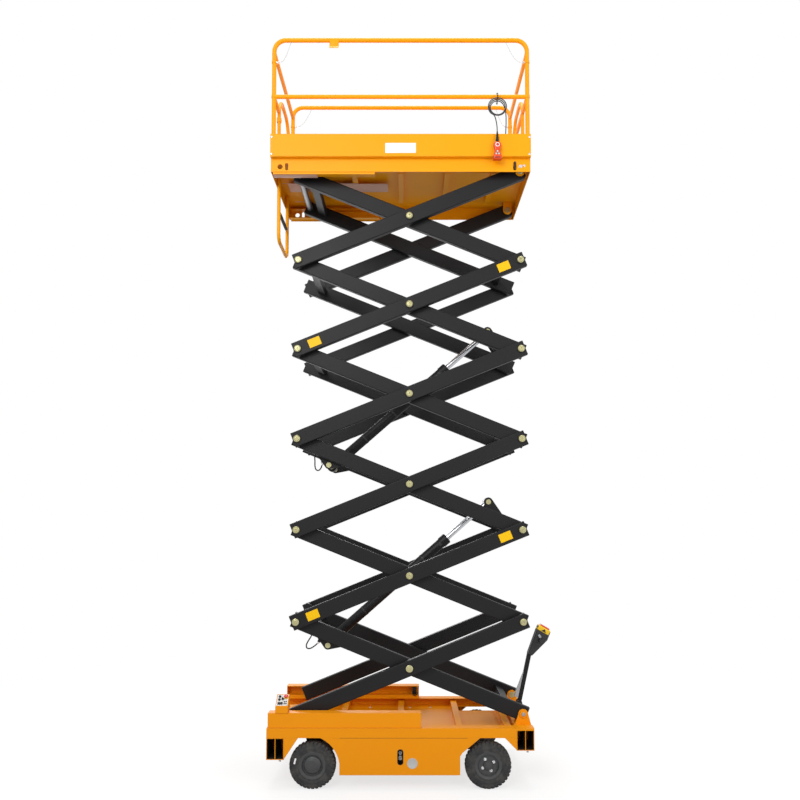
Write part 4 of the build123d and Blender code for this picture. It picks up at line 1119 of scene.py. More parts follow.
    def housing(self) -> list[Piece]:
        """The waisted moulding, its seam band and its hook.

        Returns:
            The moulding, and the band with the hook.
        """
        x, y = self.axis
        made = bmesh.new()
        around = 40
        rings = []
        for height, half_x, half_y in self.sections:
            ring = []
            for k in range(around):
                turn = 2 * math.pi * k / around
                c, s = math.cos(turn), math.sin(turn)
                ring.append(made.verts.new((
                    x + half_x * math.copysign(abs(c) ** 0.55, c),
                    y + half_y * math.copysign(abs(s) ** 0.55, s),
                    self.foot_z + height,
                )))
            rings.append(ring)
        skin_rings(made, rings)
        work = Workpiece()
        work.merge(made)
        shell = work.done("pendant_housing", Coat.PENDANT, "platform", "red_plastic", 50)
        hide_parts("pendant")
        band = Workpiece()
        foot = self.foot_z
        for side in (-1, 1):
            band.block((x + side * 0.0385 - 0.002, y - 0.0022, foot + 0.012),
                       (x + side * 0.0385 + 0.002, y + 0.0022, foot + 0.040), 0.001)
        band.block((x - 0.012, -0.6045, foot + 0.118), (x + 0.012, -0.601, foot + 0.16), 0.001)
        band.block((x - 0.014, -0.614, foot + 0.100), (x + 0.014, -0.6035, foot + 0.126), 0.002)
        hook = band.done("pendant_hook", Coat.BLACK_PLASTIC, "platform", "black_plastic")
        return [shell, hook]

    def buttons(self) -> list[Piece]:
        """The stop button in its white ring, three pale push buttons and the guard below them.

        Returns:
            The ring, the stop button, the push buttons and their bezels with the guard.
        """
        x, y = self.axis
        face = y - 0.0188
        ring = Workpiece().turned(
            [(0.0125, 0), (0.0205, 0), (0.0205, 0.0024), (0.0190, 0.0038), (0.0140, 0.0038),
             (0.0125, 0.0024)],
            placed((x, face + 0.0008, self.foot_z + self.stop_rise), Facing.NEAR.value), 36)
        white = ring.done("stop_ring", Coat.LABEL_WHITE, "platform")
        stop = Workpiece().turned(
            [(0, 0), (0.0118, 0), (0.0124, 0.003), (0.0124, 0.0058), (0.0100, 0.0078), (0.005, 0.0084),
             (0, 0.0085)],
            placed((x, face, self.foot_z + self.stop_rise), Facing.NEAR.value), 32
        ).done("stop_button", Coat.RED, "platform", "red_plastic", 60)
        pale = Workpiece()
        dark = Workpiece()
        for height, off, depth in self.push_buttons:
            spot = placed((x + off, y - depth + 0.0012, self.foot_z + height), Facing.NEAR.value)
            dark.capped(0.0112, 0, 0.0014, (0.0098, 0.0020), spot, 28)
            pale.turned(
                [(0, 0.0018), (0.0082, 0.0018), (0.0082, 0.0034), (0.0066, 0.0042), (0, 0.0044)], spot, 28)
        dark.block((x - 0.027, y - 0.0272, self.foot_z + 0.012),
                   (x + 0.027, y - 0.0252, self.foot_z + 0.020), 0.0008)
        keys = pale.done("push_buttons", Coat.PALE_PANEL, "platform", None, 60)
        bezels = dark.done("button_bezels", Coat.BLACK_PLASTIC, "platform", "black_plastic", 50)
        return [white, stop, keys, bezels]

    def tie(self) -> Piece:
        """The strap that hangs the coil from the mid rail.

        Returns:
            The strap.
        """
        x = station(self.coil_centre[0] - 2)
        y, z = -0.590, TOP_Z + 0.6435
        steps = 28
        work = Workpiece()
        loop = []
        for k in range(steps):
            turn = 2 * math.pi * k / steps
            loop.append((y + 0.0435 * math.cos(turn), z + 0.0485 * math.sin(turn)))
        for shift in (-0.0035, 0.0035):
            work.pipe([(x + shift, a, b) for a, b in loop], 0.0021, 8, closed=True)
        work.block((x - 0.006, y - 0.0475, z - 0.004), (x + 0.006, y - 0.0405, z + 0.008), 0.0015)
        return work.done("coil_tie", Coat.RUBBER, "platform", "black_rubber")


@dataclass
class CylinderHoses:
    """The hose loop at the foot of each lift cylinder, with its crimped ends."""

    hose_y: float = -0.317
    radius: float = 0.006
    # stage: distance up the arm from its middle, height over its centre line
    routes: dict[int, tuple[Pair, ...]] = field(default_factory=lambda: {
        1: ((0.948, -0.049), (0.951, -0.092), (0.960, -0.138), (0.966, -0.184), (0.950, -0.214),
            (0.918, -0.206), (0.892, -0.172), (0.874, -0.138), (0.866, -0.116)),
        3: ((0.941, -0.049), (0.932, -0.087), (0.912, -0.126), (0.897, -0.168), (0.872, -0.202),
            (0.842, -0.196), (0.831, -0.156), (0.841, -0.116)),
    })
    lengths: tuple[float, ...] = (0.301, 0.276)

    def build(self) -> None:
        """Makes both hoses and their fittings."""
        for count, (stage, route) in enumerate(self.routes.items(), start=1):
            body = f"inner_{stage}"
            points = [inner_point(stage, along, rise, self.hose_y) for along, rise in route]
            hose = smooth_line(f"lift_hose_{count}", points, self.radius, Coat.RUBBER)
            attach(hose, body)
            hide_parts(f"hose_{count}")
            ends = Workpiece()
            for tip, inner in ((points[0], points[1]), (points[-1], points[-2])):
                frame = placed(tip, inner - tip)
                ends.capped(0.0105, 0, 0.008, (0.0094, 0.009), frame, 6)
                ends.turned(
                    [(0, 0.0085), (0.0082, 0.0085), (0.0082, 0.014), (0.0076, 0.0146), (0.0082, 0.0152),
                     (0.0082, 0.020), (0.0070, 0.0215), (0, 0.0215)], frame, 20)
            crimps = ends.done(f"hose_crimps_{count}", Coat.BRIGHT, body, "steel")


# ---------- wheels
@dataclass
class WheelSet:
    """Solid tyres with a block tread, and the fronts of the four wheels."""

    radius: float = 0.208
    half_width: float = 0.0525
    wheel_y: float = 0.535
    wheel_station: float = 786.0
    blocks: int = 34
    block_share: float = 0.70  # of the pitch that a shoulder block fills
    centre_share: float = 0.72  # of the pitch that a centre block fills
    block_lean: float = math.radians(4.5)

    def build(self) -> None:
        """Makes the tyres and dresses the wheels."""
        tyre_mesh = self.tyre_mesh()
        for end in End:
            for side in Side:
                name = f"{end.name.lower()}_{side.name.lower()}"
                body = f"wheel_{name}"
                x = station(end.value * self.wheel_station)
                front = placed((x, side.value * self.wheel_y, self.radius), side.out)
                tyre = bpy.data.objects.new(f"road_tyre_{name}", tyre_mesh)
                tyre.matrix_world = front
                bpy.context.scene.collection.objects.link(tyre)
                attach(tyre, body)
                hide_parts(f"tyre_{name}")
                log.info("%s: %d faces on %s", tyre.name, len(tyre_mesh.polygons), body)
                (self.hub_cover if end is End.LEFT else self.bolted_hub)(name, front)
                self.rim_trim(name, front)
        self.sidewall_mark()

    def tyre_mesh(self) -> bpy.types.Mesh:
        """The tyre about its own axis: carcass, shoulder blocks and centre blocks.

        Returns:
            The mesh that the four tyres share.
        """
        work = Workpiece()
        half = [
            (0.1040, 0.0430), (0.1120, 0.0468), (0.1180, 0.0474), (0.1205, 0.0492), (0.1240, 0.0492),
            (0.1262, 0.0478), (0.1340, 0.0494), (0.1480, 0.0506), (0.1500, 0.0516), (0.1530, 0.0516),
            (0.1552, 0.0506), (0.1660, 0.0506), (0.1780, 0.0496), (0.1900, 0.0455), (0.1975, 0.0360),
            (0.2010, 0.0190),
        ]
        profile = [(r, -h) for r, h in half] + [(0.2015, 0.0)] + [(r, h) for r, h in reversed(half)]
        work.turned([*profile, profile[0]], Matrix.Identity(4), 96)
        shoulder = [
            (0.1985, 0.0110), (0.2072, 0.0118), (0.2080, 0.0140), (0.2080, 0.0300), (0.2056, 0.0400),
            (0.1990, 0.0478), (0.1890, 0.0512), (0.1760, 0.0520), (0.1745, 0.0470), (0.1890, 0.0400),
        ]
        centre = [
            (0.1965, -0.0085), (0.2074, -0.0078), (0.2080, -0.0055), (0.2080, 0.0055), (0.2074, 0.0078),
            (0.1965, 0.0085),
        ]
        pitch = 2 * math.pi / self.blocks
        for k in range(self.blocks):
            for side, offset in ((-1, 0.0), (1, 0.5)):
                section = [(r, side * h) for r, h in shoulder]
                work.merge(self.tread_block(section, (k + offset) * pitch, pitch * self.block_share))
            work.merge(self.tread_block(centre, (k + 0.25) * pitch, pitch * self.centre_share))
        data = bpy.data.meshes.new("road_tyre")
        work.mesh.to_mesh(data)
        work.mesh.free()
        data.shade_smooth()
        data.set_sharp_from_angle(angle=math.radians(32))
        data.materials.append(material_of(Coat.TYRE))
        return data

    def tread_block(self, section: Sequence[Pair], start: float, sweep: float) -> Draft:
        """One tread block: its section swept round the tyre, leaning towards the shoulder.

        Args:
            section: radius and distance across of each corner.
            start: angle where it starts.
            sweep: angle that it covers.

        Returns:
            The block's mesh.
        """
        made = bmesh.new()
        steps = 3
        rings = []
        for step in range(steps + 1):
            ring = []
            for radius, across in section:
                turn = start + sweep * step / steps + self.block_lean * abs(across) / self.half_width
                pull = 0.0012 if step in (0, steps) and radius > 0.2 else 0.0
                r = radius - pull
                ring.append(made.verts.new((r * math.cos(turn), r * math.sin(turn), across)))
            rings.append(ring)
        skin_rings(made, rings)
        return made

    def hub_cover(self, name: str, front: Matrix) -> None:
        """The domed cover of a left wheel.

        Args:
            name: the wheel's end and side.
            front: the wheel's frame, Z pointing out of the machine.
        """
        work = Workpiece().turned(
            [(0, 0.0215), (0.0800, 0.0215), (0.0800, 0.0255), (0.0775, 0.0290), (0.0700, 0.0345),
             (0.0580, 0.0385), (0.0560, 0.0376), (0.0535, 0.0396), (0.0380, 0.0420), (0.0180, 0.0432),
             (0, 0.0435)], front, 56)
        work.done(f"hub_cover_{name}", Coat.RIM, f"wheel_{name}", "rim_paint", 40)

    def bolted_hub(self, name: str, front: Matrix) -> None:
        """Four bright nuts on a right wheel's disc, and the cap of its bearing.

        Args:
            name: the wheel's end and side.
            front: the wheel's frame, Z pointing out of the machine.
        """
        work = Workpiece()
        for k in range(4):
            turn = math.radians(28 + 90 * k)
            foot = front @ Vector((0.056 * math.cos(turn), 0.056 * math.sin(turn), 0.022))
            frame = placed(foot, front.to_3x3() @ Vector((0, 0, 1)), front.to_3x3() @ Vector((1, 0, 0)))
            work.bolt(frame, 0.0225, 0.013, 1.25)
            work.turned([(0.006, 0.0128), (0.006, 0.0178), (0.0052, 0.0188), (0, 0.0188)], frame, 14)
        work.done(f"wheel_nuts_{name}", Coat.BRIGHT, f"wheel_{name}", "steel")
        cap = Workpiece().turned(
            [(0, 0.0345), (0.0290, 0.0345), (0.0290, 0.0430), (0.0275, 0.0455), (0.0180, 0.0475),
             (0.0100, 0.0480), (0, 0.0480)], front, 36)
        cap.done(f"bearing_cap_{name}", Coat.RIM, f"wheel_{name}", "rim_paint", 40)

    def rim_trim(self, name: str, front: Matrix) -> None:
        """The pressed ring and the valve on the front of a rim.

        Args:
            name: the wheel's end and side.
            front: the wheel's frame, Z pointing out of the machine.
        """
        work = Workpiece()
        ring = [(0.0905, 0.0225), (0.0935, 0.0275), (0.0965, 0.0275), (0.0985, 0.0225), (0.0905, 0.0225)]
        work.turned(ring, front, 64)
        turn = math.radians(250)
        foot = front @ Vector((0.084 * math.cos(turn), 0.084 * math.sin(turn), 0.021))
        frame = placed(foot, front.to_3x3() @ Vector((0.25, 0, 1)))
        work.turned([(0, 0), (0.0052, 0), (0.0048, 0.012), (0.0034, 0.0135), (0.0034, 0.019),
                     (0.0042, 0.0192), (0.0042, 0.0235), (0, 0.024)], frame, 16)
        work.done(f"rim_trim_{name}", Coat.RIM, f"wheel_{name}", "rim_paint", 40)

    def sidewall_mark(self) -> None:
        """The small pale patch on the near left tyre."""
        x = station(-self.wheel_station)
        turn = math.radians(165)
        r = 0.1585
        frame = placed(
            (x + r * math.cos(turn), -self.wheel_y - 0.0502, self.radius + r * math.sin(turn)),
            Facing.NEAR.value, (math.cos(turn), 0, math.sin(turn)),
        )
        work = Workpiece().block((-0.0085, -0.026, 0), (0.0085, 0.026, 0.0012), 0.0005, 1, frame)
        work.done("sidewall_patch", Coat.LABEL_WHITE, "wheel_left_near")


# ---------- chassis
@dataclass
class ChassisDress:
    """Controls, sockets, plates and fasteners of the chassis."""

    panel_stations: Pair = (-1118.0, -1005.0)
    # Y and Z of the sloping panel's low and high edge
    panel_edges: tuple[Pair, Pair] = ((-0.596, 0.734), (-0.493, 0.819))
    panel_corner: Pair = (0.0455, 0.054)  # of its screws, from its middle
    slot_z: float = 0.290
    disc_place: Pair = (107.0, 0.235)  # station and height
    # station and foot height of the clamping screws at each end
    sleeve_table: tuple[Pair, ...] = ((-1081.0, 0.266), (1142.0, 0.347))
    # left station, foot height and top height of the pair of sleeves at each end
    sleeve_boxes: tuple[Point, ...] = ((-1195.0, 0.266, 0.457), (1038.0, 0.347, 0.527))
    sleeve_run: float = 0.157  # of a pair along the machine
    sleeve_wall: float = 0.006
    # station, foot height and top height of the sleeves' weld beads
    sleeve_beads: tuple[Point, ...] = ((-1038.0, 0.27, 0.457), (1038.0, 0.352, 0.527))
    track_end: float = 185.0  # station of the tracks' open ends
    deck_bolts: tuple[float, ...] = (-760.0, -320.0, 90.0, 300.0)

    def build(self) -> None:
        """Makes every chassis detail."""
        self.control_panel()
        self.panel_switches()
        self.panel_stop()
        self.panel_screws()
        self.charging_sockets()
        self.round_plate()
        self.sleeve_screws()
        self.sleeve_linings()
        self.seams()
        self.track_stop()
        self.deck_fittings()

    @property
    def panel(self) -> Matrix:
        """The middle of the sloping panel, Z pointing out of it.

        Returns:
            Its frame.
        """
        left, right = self.panel_stations
        x = (station(left) + station(right)) / 2
        low, high = (Vector((x, y, z)) for y, z in self.panel_edges)
        out = Vector((1, 0, 0)).cross((high - low).normalized())
        return placed((low + high) / 2 + out * 0.0005, out, (1, 0, 0))

    def control_panel(self) -> None:
        """The pale sloping panel's plate."""
        Workpiece().block((-0.0505, -0.0600, 0), (0.0505, 0.0600, 0.0026), 0.0012, 2, self.panel).done(
            "control_panel_plate", Coat.PALE_PANEL, "chassis", "grey_plastic")

    def panel_switches(self) -> None:
        """The gauge's window, three lever switches and four small round ones."""
        dark, frame = Workpiece(), self.panel
        dark.block((-0.040, -0.050, 0.0024), (0.006, -0.022, 0.0042), 0.0008, 1, frame)  # gauge window
        for off_x, off_y, tall in ((-0.028, 0.004, 0.024), (0.002, 0.012, 0.030), (-0.026, 0.036, 0.026)):
            spot = frame @ Matrix.Translation((off_x, off_y, 0.0024))
            dark.turned([(0, 0), (0.0125, 0), (0.0125, 0.002), (0.0105, 0.0035), (0.008, 0.0035),
                         (0.008, 0.006), (0.0062, 0.008), (0, 0.008)], spot, 24)
            tip = spot @ Matrix.Rotation(math.radians(14), 4, "X")
            dark.turned([(0, 0.006), (0.0040, 0.006), (0.0052, tall * 0.7), (0.0062, tall * 0.9),
                         (0.0048, tall), (0, tall)], tip, 16)
        for off_x, off_y in ((0.020, -0.040), (0.036, -0.040), (0.020, -0.018), (0.036, -0.018)):
            spot = frame @ Matrix.Translation((off_x, off_y, 0.0024))
            dark.capped(0.0062, 0, 0.004, (0.0050, 0.0052), spot, 20)
        dark.done("panel_switches", Coat.BLACK_PLASTIC, "chassis", "black_plastic", 45)

    def panel_stop(self) -> None:
        """The red stop button on its yellow ring."""
        spot = self.panel @ Matrix.Translation((0.030, 0.030, 0.0024))
        ring = Workpiece().capped(0.0195, 0, 0.003, (0.0180, 0.0042), spot, 32)
        ring.done("panel_stop_ring", Coat.YELLOW, "chassis")
        button = Workpiece().turned(
            [(0, 0.004), (0.0095, 0.004), (0.0095, 0.010), (0.0165, 0.013), (0.0178, 0.0165),
             (0.0165, 0.0205), (0.0110, 0.0228), (0, 0.0236)], spot, 32)
        button.done("panel_stop_button", Coat.RED, "chassis", "red_plastic", 55)

    def panel_screws(self) -> None:
        """The screws in the panel's corners."""
        across, up = self.panel_corner
        screws = Workpiece()
        for off_x in (-across, across):
            for off_y in (-up, up):
                screws.turned([(0, 0), (0.0034, 0), (0.0030, 0.0016), (0.0014, 0.0020), (0, 0.0020)],
                              self.panel @ Matrix.Translation((off_x, off_y, 0.0024)), 16)
        screws.done("panel_screws", Coat.BRIGHT, "chassis", "steel")

    def charging_sockets(self) -> None:
        """The dark tub behind the slot, its edging and the two sockets in it."""
        x, z = station(0), self.slot_z
        half, reach = 0.025, 0.0425
        loop = []
        for k in range(32):
            turn = 2 * math.pi * k / 32
            lift = reach if 0 <= k <= 16 else -reach
            loop.append((half * math.cos(turn), half * math.sin(turn) + lift))
        edge = Workpiece().pipe([(x + a, NEAR_EDGE - 0.0002, z + b) for a, b in loop], 0.0022, 8, closed=True)
        edge.done("socket_edging", Coat.RUBBER, "chassis", "black_rubber")
        tub = Workpiece()
        tub.block((x - 0.036, -0.5455, z - 0.080), (x + 0.036, -0.5425, z + 0.080), 0.001)
        for side in (-1, 1):
            wall_x, wall_z = x + side * 0.034, z + side * 0.078
            tub.block((wall_x - 0.002, -0.5935, z - 0.080), (wall_x + 0.002, -0.5435, z + 0.080), 0.0005)
            tub.block((x - 0.036, -0.5935, wall_z - 0.002), (x + 0.036, -0.5435, wall_z + 0.002), 0.0005)
        tub.done("socket_tub", Coat.DARK, "chassis", "black_plastic")
        ports = Workpiece()
        for lift, wide in ((0.030, 0.0170), (-0.016, 0.0185)):
            frame = placed((x, -0.546, z + lift), Facing.NEAR.value)
            bore = wide - 0.006
            ports.turned([(0.0, 0.0), (wide, 0.0), (wide, 0.030), (wide - 0.002, 0.033), (bore, 0.033),
                          (bore, 0.022), (0, 0.022)], frame, 28)
            for turn in range(3):
                a = math.radians(90 + 120 * turn)
                pin = frame @ Matrix.Translation((0.0055 * math.cos(a), 0.0055 * math.sin(a), 0.021))
                ports.stub(0.0016, 0, 0.009, pin, 8)
        ports.done("charging_sockets", Coat.GREY_PLASTIC, "chassis", "grey_plastic", 45)

    def round_plate(self) -> None:
        """The blank grey disc on the near skirt."""
        frame = placed((station(self.disc_place[0]), NEAR_EDGE, self.disc_place[1]), Facing.NEAR.value)
        disc = Workpiece().turned(
            [(0, 0), (0.047, 0), (0.047, 0.0008), (0.0462, 0.0014), (0.0435, 0.0014), (0.0425, 0.0010),
             (0, 0.0010)], frame, 64)
        disc.done("round_blank_plate", Coat.LABEL_GREY, "chassis")

    def sleeve_screws(self) -> None:
        """The clamping screws under the sleeves, and the collars they run in."""
        work = Workpiece()
        for place, foot in self.sleeve_table:
            for side in Side:
                for inset in (0.045, 0.300):
                    y = side.value * (HALF_WIDTH - inset)
                    frame = placed((station(place), y, foot), Facing.DOWN.value)
                    work.capped(0.0130, -0.001, 0.007, (0.0118, 0.008), frame, 6)
                    work.stub(0.0052, 0.006, 0.020, frame, 16)
                    work.capped(0.0105, 0.018, 0.0265, (0.0092, 0.0280), frame, 6)
        work.done("sleeve_screws", Coat.BRIGHT, "chassis", "steel")

    def sleeve_linings(self) -> None:
        """Dark sheets inside the outrigger sleeves: painted shade where their insides fall in shadow."""
        dark = Workpiece()
        wall, gap, thick = self.sleeve_wall, 0.0003, 0.0004
        run = (self.sleeve_run - 3 * wall) / 2
        for left, low, high in self.sleeve_boxes:
            for count in range(2):
                x0 = station(left) + wall + count * (run + wall)
                x1, z0, z1 = x0 + run, low + wall, high - wall
                for side in Side:
                    y0, y1 = sorted((side.value * 0.5975, side.value * 0.300))
                    for lo, hi in (
                        ((x0 + gap, y0, z0 + gap), (x0 + gap + thick, y1, z1 - gap)),
                        ((x1 - gap - thick, y0, z0 + gap), (x1 - gap, y1, z1 - gap)),
                        ((x0 + gap, y0, z0 + gap), (x1 - gap, y1, z0 + gap + thick)),
                        ((x0 + gap, y0, z1 - gap - thick), (x1 - gap, y1, z1 - gap)),
                    ):
                        # each sleeve wall gets a thin dark sheet of painted shade
                        dark.block(lo, hi, 0)
        dark.done("sleeve_linings", Coat.DARK, "chassis")

    def seams(self) -> None:
        """The dark joints along both sides, and the weld beads of the sleeves and of the tracks' ends."""
        dark = Workpiece()
        for side in Side:
            y = side.value * HALF_WIDTH
            lo_y, hi_y = sorted((y - side.value * 0.002, y + side.value * 0.0004))
            dark.block((station(-540), lo_y, 0.4555), (station(600), hi_y, 0.4578), 0)
            lo_y, hi_y = sorted((side.value * 0.588, side.value * 0.5904))
            dark.block((station(-1186), lo_y, 0.5425), (station(self.track_end), hi_y, 0.5445), 0)
        dark.done("panel_joints", Coat.DARK, "chassis")
        bead = Workpiece()
        for side in Side:
            y = side.value * 0.5995
            for place, low, high in self.sleeve_beads:
                bead.pipe([(station(place), y, low + (high - low) * k / 8) for k in range(9)], 0.0028, 8)
            x = station(self.track_end) + 0.001
            bead.pipe([(x, side.value * (0.49 + 0.1 * k / 6), 0.5445) for k in range(7)], 0.003, 8)
        bead.done("weld_beads", Coat.ORANGE, "chassis", "orange_paint", 60)

    def track_stop(self) -> None:
        """Rubber stops in the open ends of the tracks, and a loop of cable at the far one."""
        work = Workpiece()
        for side in Side:
            lo_y, hi_y = sorted((side.value * 0.500, side.value * 0.582))
            work.block((station(118), lo_y, 0.586), (station(160), hi_y, 0.655), 0.006)
        loop = []
        for degrees in range(60, 400, 20):
            turn = math.radians(degrees)
            loop.append((station(142) + 0.026 * math.cos(turn), 0.4845, 0.606 + 0.030 * math.sin(turn)))
        work.pipe([(station(160), 0.4845, 0.652), *loop], 0.0045, 10)
        work.done("track_stops", Coat.RUBBER, "chassis", "black_rubber", 45)

    def deck_fittings(self) -> None:
        """Bolts on the deck between the tracks, and two at its right end."""
        bolts = Workpiece()
        for place in self.deck_bolts:
            for y in (-0.44, 0.44):
                bolts.bolt(placed((station(place), y, 0.463), Facing.UP.value), 0.020, 0.011)
        for y in (-0.2, 0.2):
            bolts.bolt(placed((station(1090), y, 0.533), Facing.UP.value), 0.024, 0.013)
        bolts.done("deck_bolts", Coat.BRIGHT, "chassis", "steel")


# ---------- scissor
@dataclass
class ScissorDress:
    """Pin heads, bosses, welds and blank labels of every stage, and the lift cylinders."""

    tip_y: float = 0.484
    foot_tip_y: float = 0.430
    arm_face_y: float = 0.472
    label_size: Pair = (0.118, 0.080)
    label_inset: float = 0.170
    label_stages: tuple[int, ...] = (2, 5)
    top_tip_y: float = 0.496
    tube_inset: float = 0.150  # of the cross tubes from an inner frame's end pins
    tube_end_y: float = 0.3455
    tube_half: Pair = (0.04, 0.025)
    cylinder_stages: tuple[int, ...] = (1, 3)

    def build(self) -> None:
        """Dresses every stage."""
        for stage in range(1, STAGES + 1):
            self.pin_heads(stage)
            self.bosses(stage)
            self.frame_trim(stage)
        for stage in self.label_stages:
            self.labels(stage)
        self.top_pin_heads()
        for count, stage in enumerate(self.cylinder_stages, start=1):
            LiftCylinder(count, stage).build()

    @staticmethod
    def head(work: Workpiece, frame: Matrix, lift: float = 1.0) -> None:
        """A turned pin head: chamfered cap, groove and centre hole.

        Args:
            work: the piece that it is added to.
            frame: the end of the pin, Z pointing out.
            lift: its height as a share of the usual one.
        """
        profile = (
            (0, -0.0005), (0.0325, -0.0005), (0.0325, 0.0015), (0.0300, 0.0048), (0.0245, 0.0082),
            (0.0232, 0.0070), (0.0205, 0.0070), (0.0190, 0.0090), (0.0085, 0.0096), (0.0068, 0.0030),
            (0, 0.0022),
        )
        work.turned([(radius, height * lift) for radius, height in profile], frame, 36)

    def pin_heads(self, stage: int) -> None:
        """The heads of the pins that ride on one inner frame.

        Args:
            stage: counted from 1 at the bottom.
        """
        spots = [(MIDDLE_X, level(stage - 0.5))]
        if stage > 1:
            spots.append((PIVOT_X, level(stage - 1)))
        if stage < STAGES:
            spots.append((SLIDER_X, level(stage)))
        lift = 0.4 if stage == 1 else 1.0  # the lowest stage's heads pass close by the roller tracks
        work = Workpiece()
        for x, z in spots:
            for side in Side:
                self.head(work, placed((x, side.value * self.tip_y, z), side.out), lift)
        work.done(f"pin_heads_{stage}", Coat.ZINC, f"inner_{stage}", "zinc", 40)

    def top_pin_heads(self) -> None:
        """The heads of the platform's pins, and the caps and heads of the lowest pins."""
        work = Workpiece()
        for side in Side:
            self.head(work, placed((PIVOT_X, side.value * self.top_tip_y, level(STAGES)), side.out))
        work.done("pin_heads_platform", Coat.ZINC, "platform", "zinc", 40)
        caps, low = Workpiece(), Workpiece()
        for side in Side:
            frame = placed((PIVOT_X, side.value * self.foot_tip_y, PIVOT_Z), side.out)
            caps.capped(0.0335, -0.0005, 0.0025, (0.0322, 0.0040), frame, 40)
            low.turned([(0, 0.0038), (0.0185, 0.0038), (0.0185, 0.0075), (0.0165, 0.0100), (0.0060, 0.0108),
                        (0.0045, 0.0075), (0, 0.0070)], frame, 28)
        caps.done("foot_pin_caps", Coat.ORANGE, "inner_1", "orange_paint", 40)
        low.done("foot_pin_heads", Coat.STEEL, "inner_1", "steel", 40)

    def bosses(self, stage: int) -> None:
        """The raised bosses round the pins on the faces of one pair of outer arms.

        Args:
            stage: counted from 1 at the bottom.
        """
        work = Workpiece()
        for along in (-ARM_PITCH / 2, 0.0, ARM_PITCH / 2):
            if (stage == 1 and along < 0) or (stage == STAGES and along > 0):
                continue
            for side in Side:
                work.turned(
                    [(0.0325, -0.0005), (0.0410, -0.0005), (0.0410, 0.0035), (0.0395, 0.0050),
                     (0.0325, 0.0050), (0.0325, -0.0005)],
                    placed(outer_point(stage, along, side.value * self.arm_face_y), side.out), 36)
        work.done(f"arm_bosses_{stage}", Coat.BLACK, f"outer_{stage}", "black_paint", 40)

    def frame_trim(self, stage: int) -> None:
        """The welds round the ends of an inner frame's two cross tubes.

        Args:
            stage: counted from 1 at the bottom.
        """
        w, h = self.tube_half
        work = Workpiece()
        for end in (-1, 1):
            along = end * (ARM_PITCH / 2 - self.tube_inset)
            for side in Side:
                y = side.value * self.tube_end_y
                loop = [inner_point(stage, along + a, b, y) for a, b in ((-w, -h), (w, -h), (w, h), (-w, h))]
                work.pipe(loop, 0.0032, 8, closed=True)
        work.done(f"cross_tube_welds_{stage}", Coat.BLACK, f"inner_{stage}", "black_paint", 60)

    def labels(self, stage: int) -> None:
        """The blank yellow labels near both ends of one pair of outer arms, on their outer faces.

        Args:
            stage: counted from 1 at the bottom.
        """
        work = Workpiece()
        for end in (-1, 1):
            along = end * (ARM_PITCH / 2 - self.label_inset)
            for side in Side:
                middle = outer_point(stage, along, side.value * self.arm_face_y)
                frame = placed(middle, side.out, (LEAN_COS, 0, LEAN_SIN))
                w, h = self.label_size[0] / 2, self.label_size[1] / 2
                work.block((-w, -h, 0), (w, h, 0.0012), 0.0005, 1, frame)
        work.done(f"blank_labels_{stage}", Coat.LABEL_YELLOW, f"outer_{stage}")


@dataclass
class LiftCylinder:
    """Port blocks, clamps, pipe and gland of one lift cylinder, measured from its foot."""

    count: int
    stage: int  # that carries its foot
    # up the inner frame from its middle, and over its centre line
    foot: Pair = (0.775, -0.112)
    eye: Pair = (-0.775, 0.145)
    clamp_heights: tuple[float, ...] = (0.42, 0.80, 1.18)
    nut_heights: Pair = (0.134, 1.386)

    @property
    def barrel(self) -> Matrix:
        """The frame of its foot, Z along it and X towards the near side."""
        foot, eye = inner_point(self.stage, *self.foot), inner_point(self.stage + 2, *self.eye)
        return placed(foot, (eye - foot).normalized(), Facing.NEAR.value)

    def build(self) -> None:
        """Makes its three pieces."""
        self.clamps()
        self.pipe()
        self.gland()

    def clamps(self) -> None:
        """The port blocks at both ends of the barrel, and the clamps that hold the pipe."""
        work, barrel = Workpiece(), self.barrel
        work.block((0.040, -0.022, 0.075), (0.0535, 0.022, 0.135), 0.002, 2, barrel)
        work.block((0.040, -0.018, 1.395), (0.0535, 0.018, 1.428), 0.002, 2, barrel)
        for z in self.clamp_heights:
            work.turned([(0.0470, z), (0.0490, z), (0.0495, z + 0.003), (0.0495, z + 0.015),
                         (0.0490, z + 0.018), (0.0470, z + 0.018), (0.0470, z)], barrel, 40)
            work.block((0.0465, -0.009, z), (0.0545, 0.009, z + 0.018), 0.0012, 2, barrel)
        name = f"cylinder_clamps_{self.count}"
        work.done(name, Coat.BLACK_PLASTIC, f"barrel_{self.count}", "black_paint")

    def pipe(self) -> None:
        """The pipe along the barrel, with a nut at each end."""
        work, barrel = Workpiece(), self.barrel
        work.pipe([barrel @ Vector((0.0500, 0, z)) for z in (0.13, 0.6, 1.0, 1.40)], 0.0042, 12)
        for z in self.nut_heights:
            work.stub(0.0085, 0, 0.010, barrel @ Matrix.Translation((0.0490, 0, z)), 6)
        work.done(f"cylinder_pipe_{self.count}", Coat.BLACK, f"barrel_{self.count}", "black_paint")

    def gland(self) -> None:
        """The gland ring at the end of the barrel, with four screws."""
        work, barrel = Workpiece(), self.barrel
        work.turned([(0.0285, 1.4985), (0.0500, 1.4985), (0.0500, 1.5030), (0.0450, 1.5065),
                     (0.0340, 1.5075), (0.0285, 1.5050), (0.0285, 1.4985)], barrel, 40)
        for k in range(4):
            spin = barrel @ Matrix.Rotation(math.radians(45 + 90 * k), 4, "Z")
            work.stub(0.0042, 1.5035, 1.5085, spin @ Matrix.Translation((0.0395, 0, 0)), 12)
        work.done(f"cylinder_wiper_{self.count}", Coat.RUBBER, f"barrel_{self.count}", "black_paint")


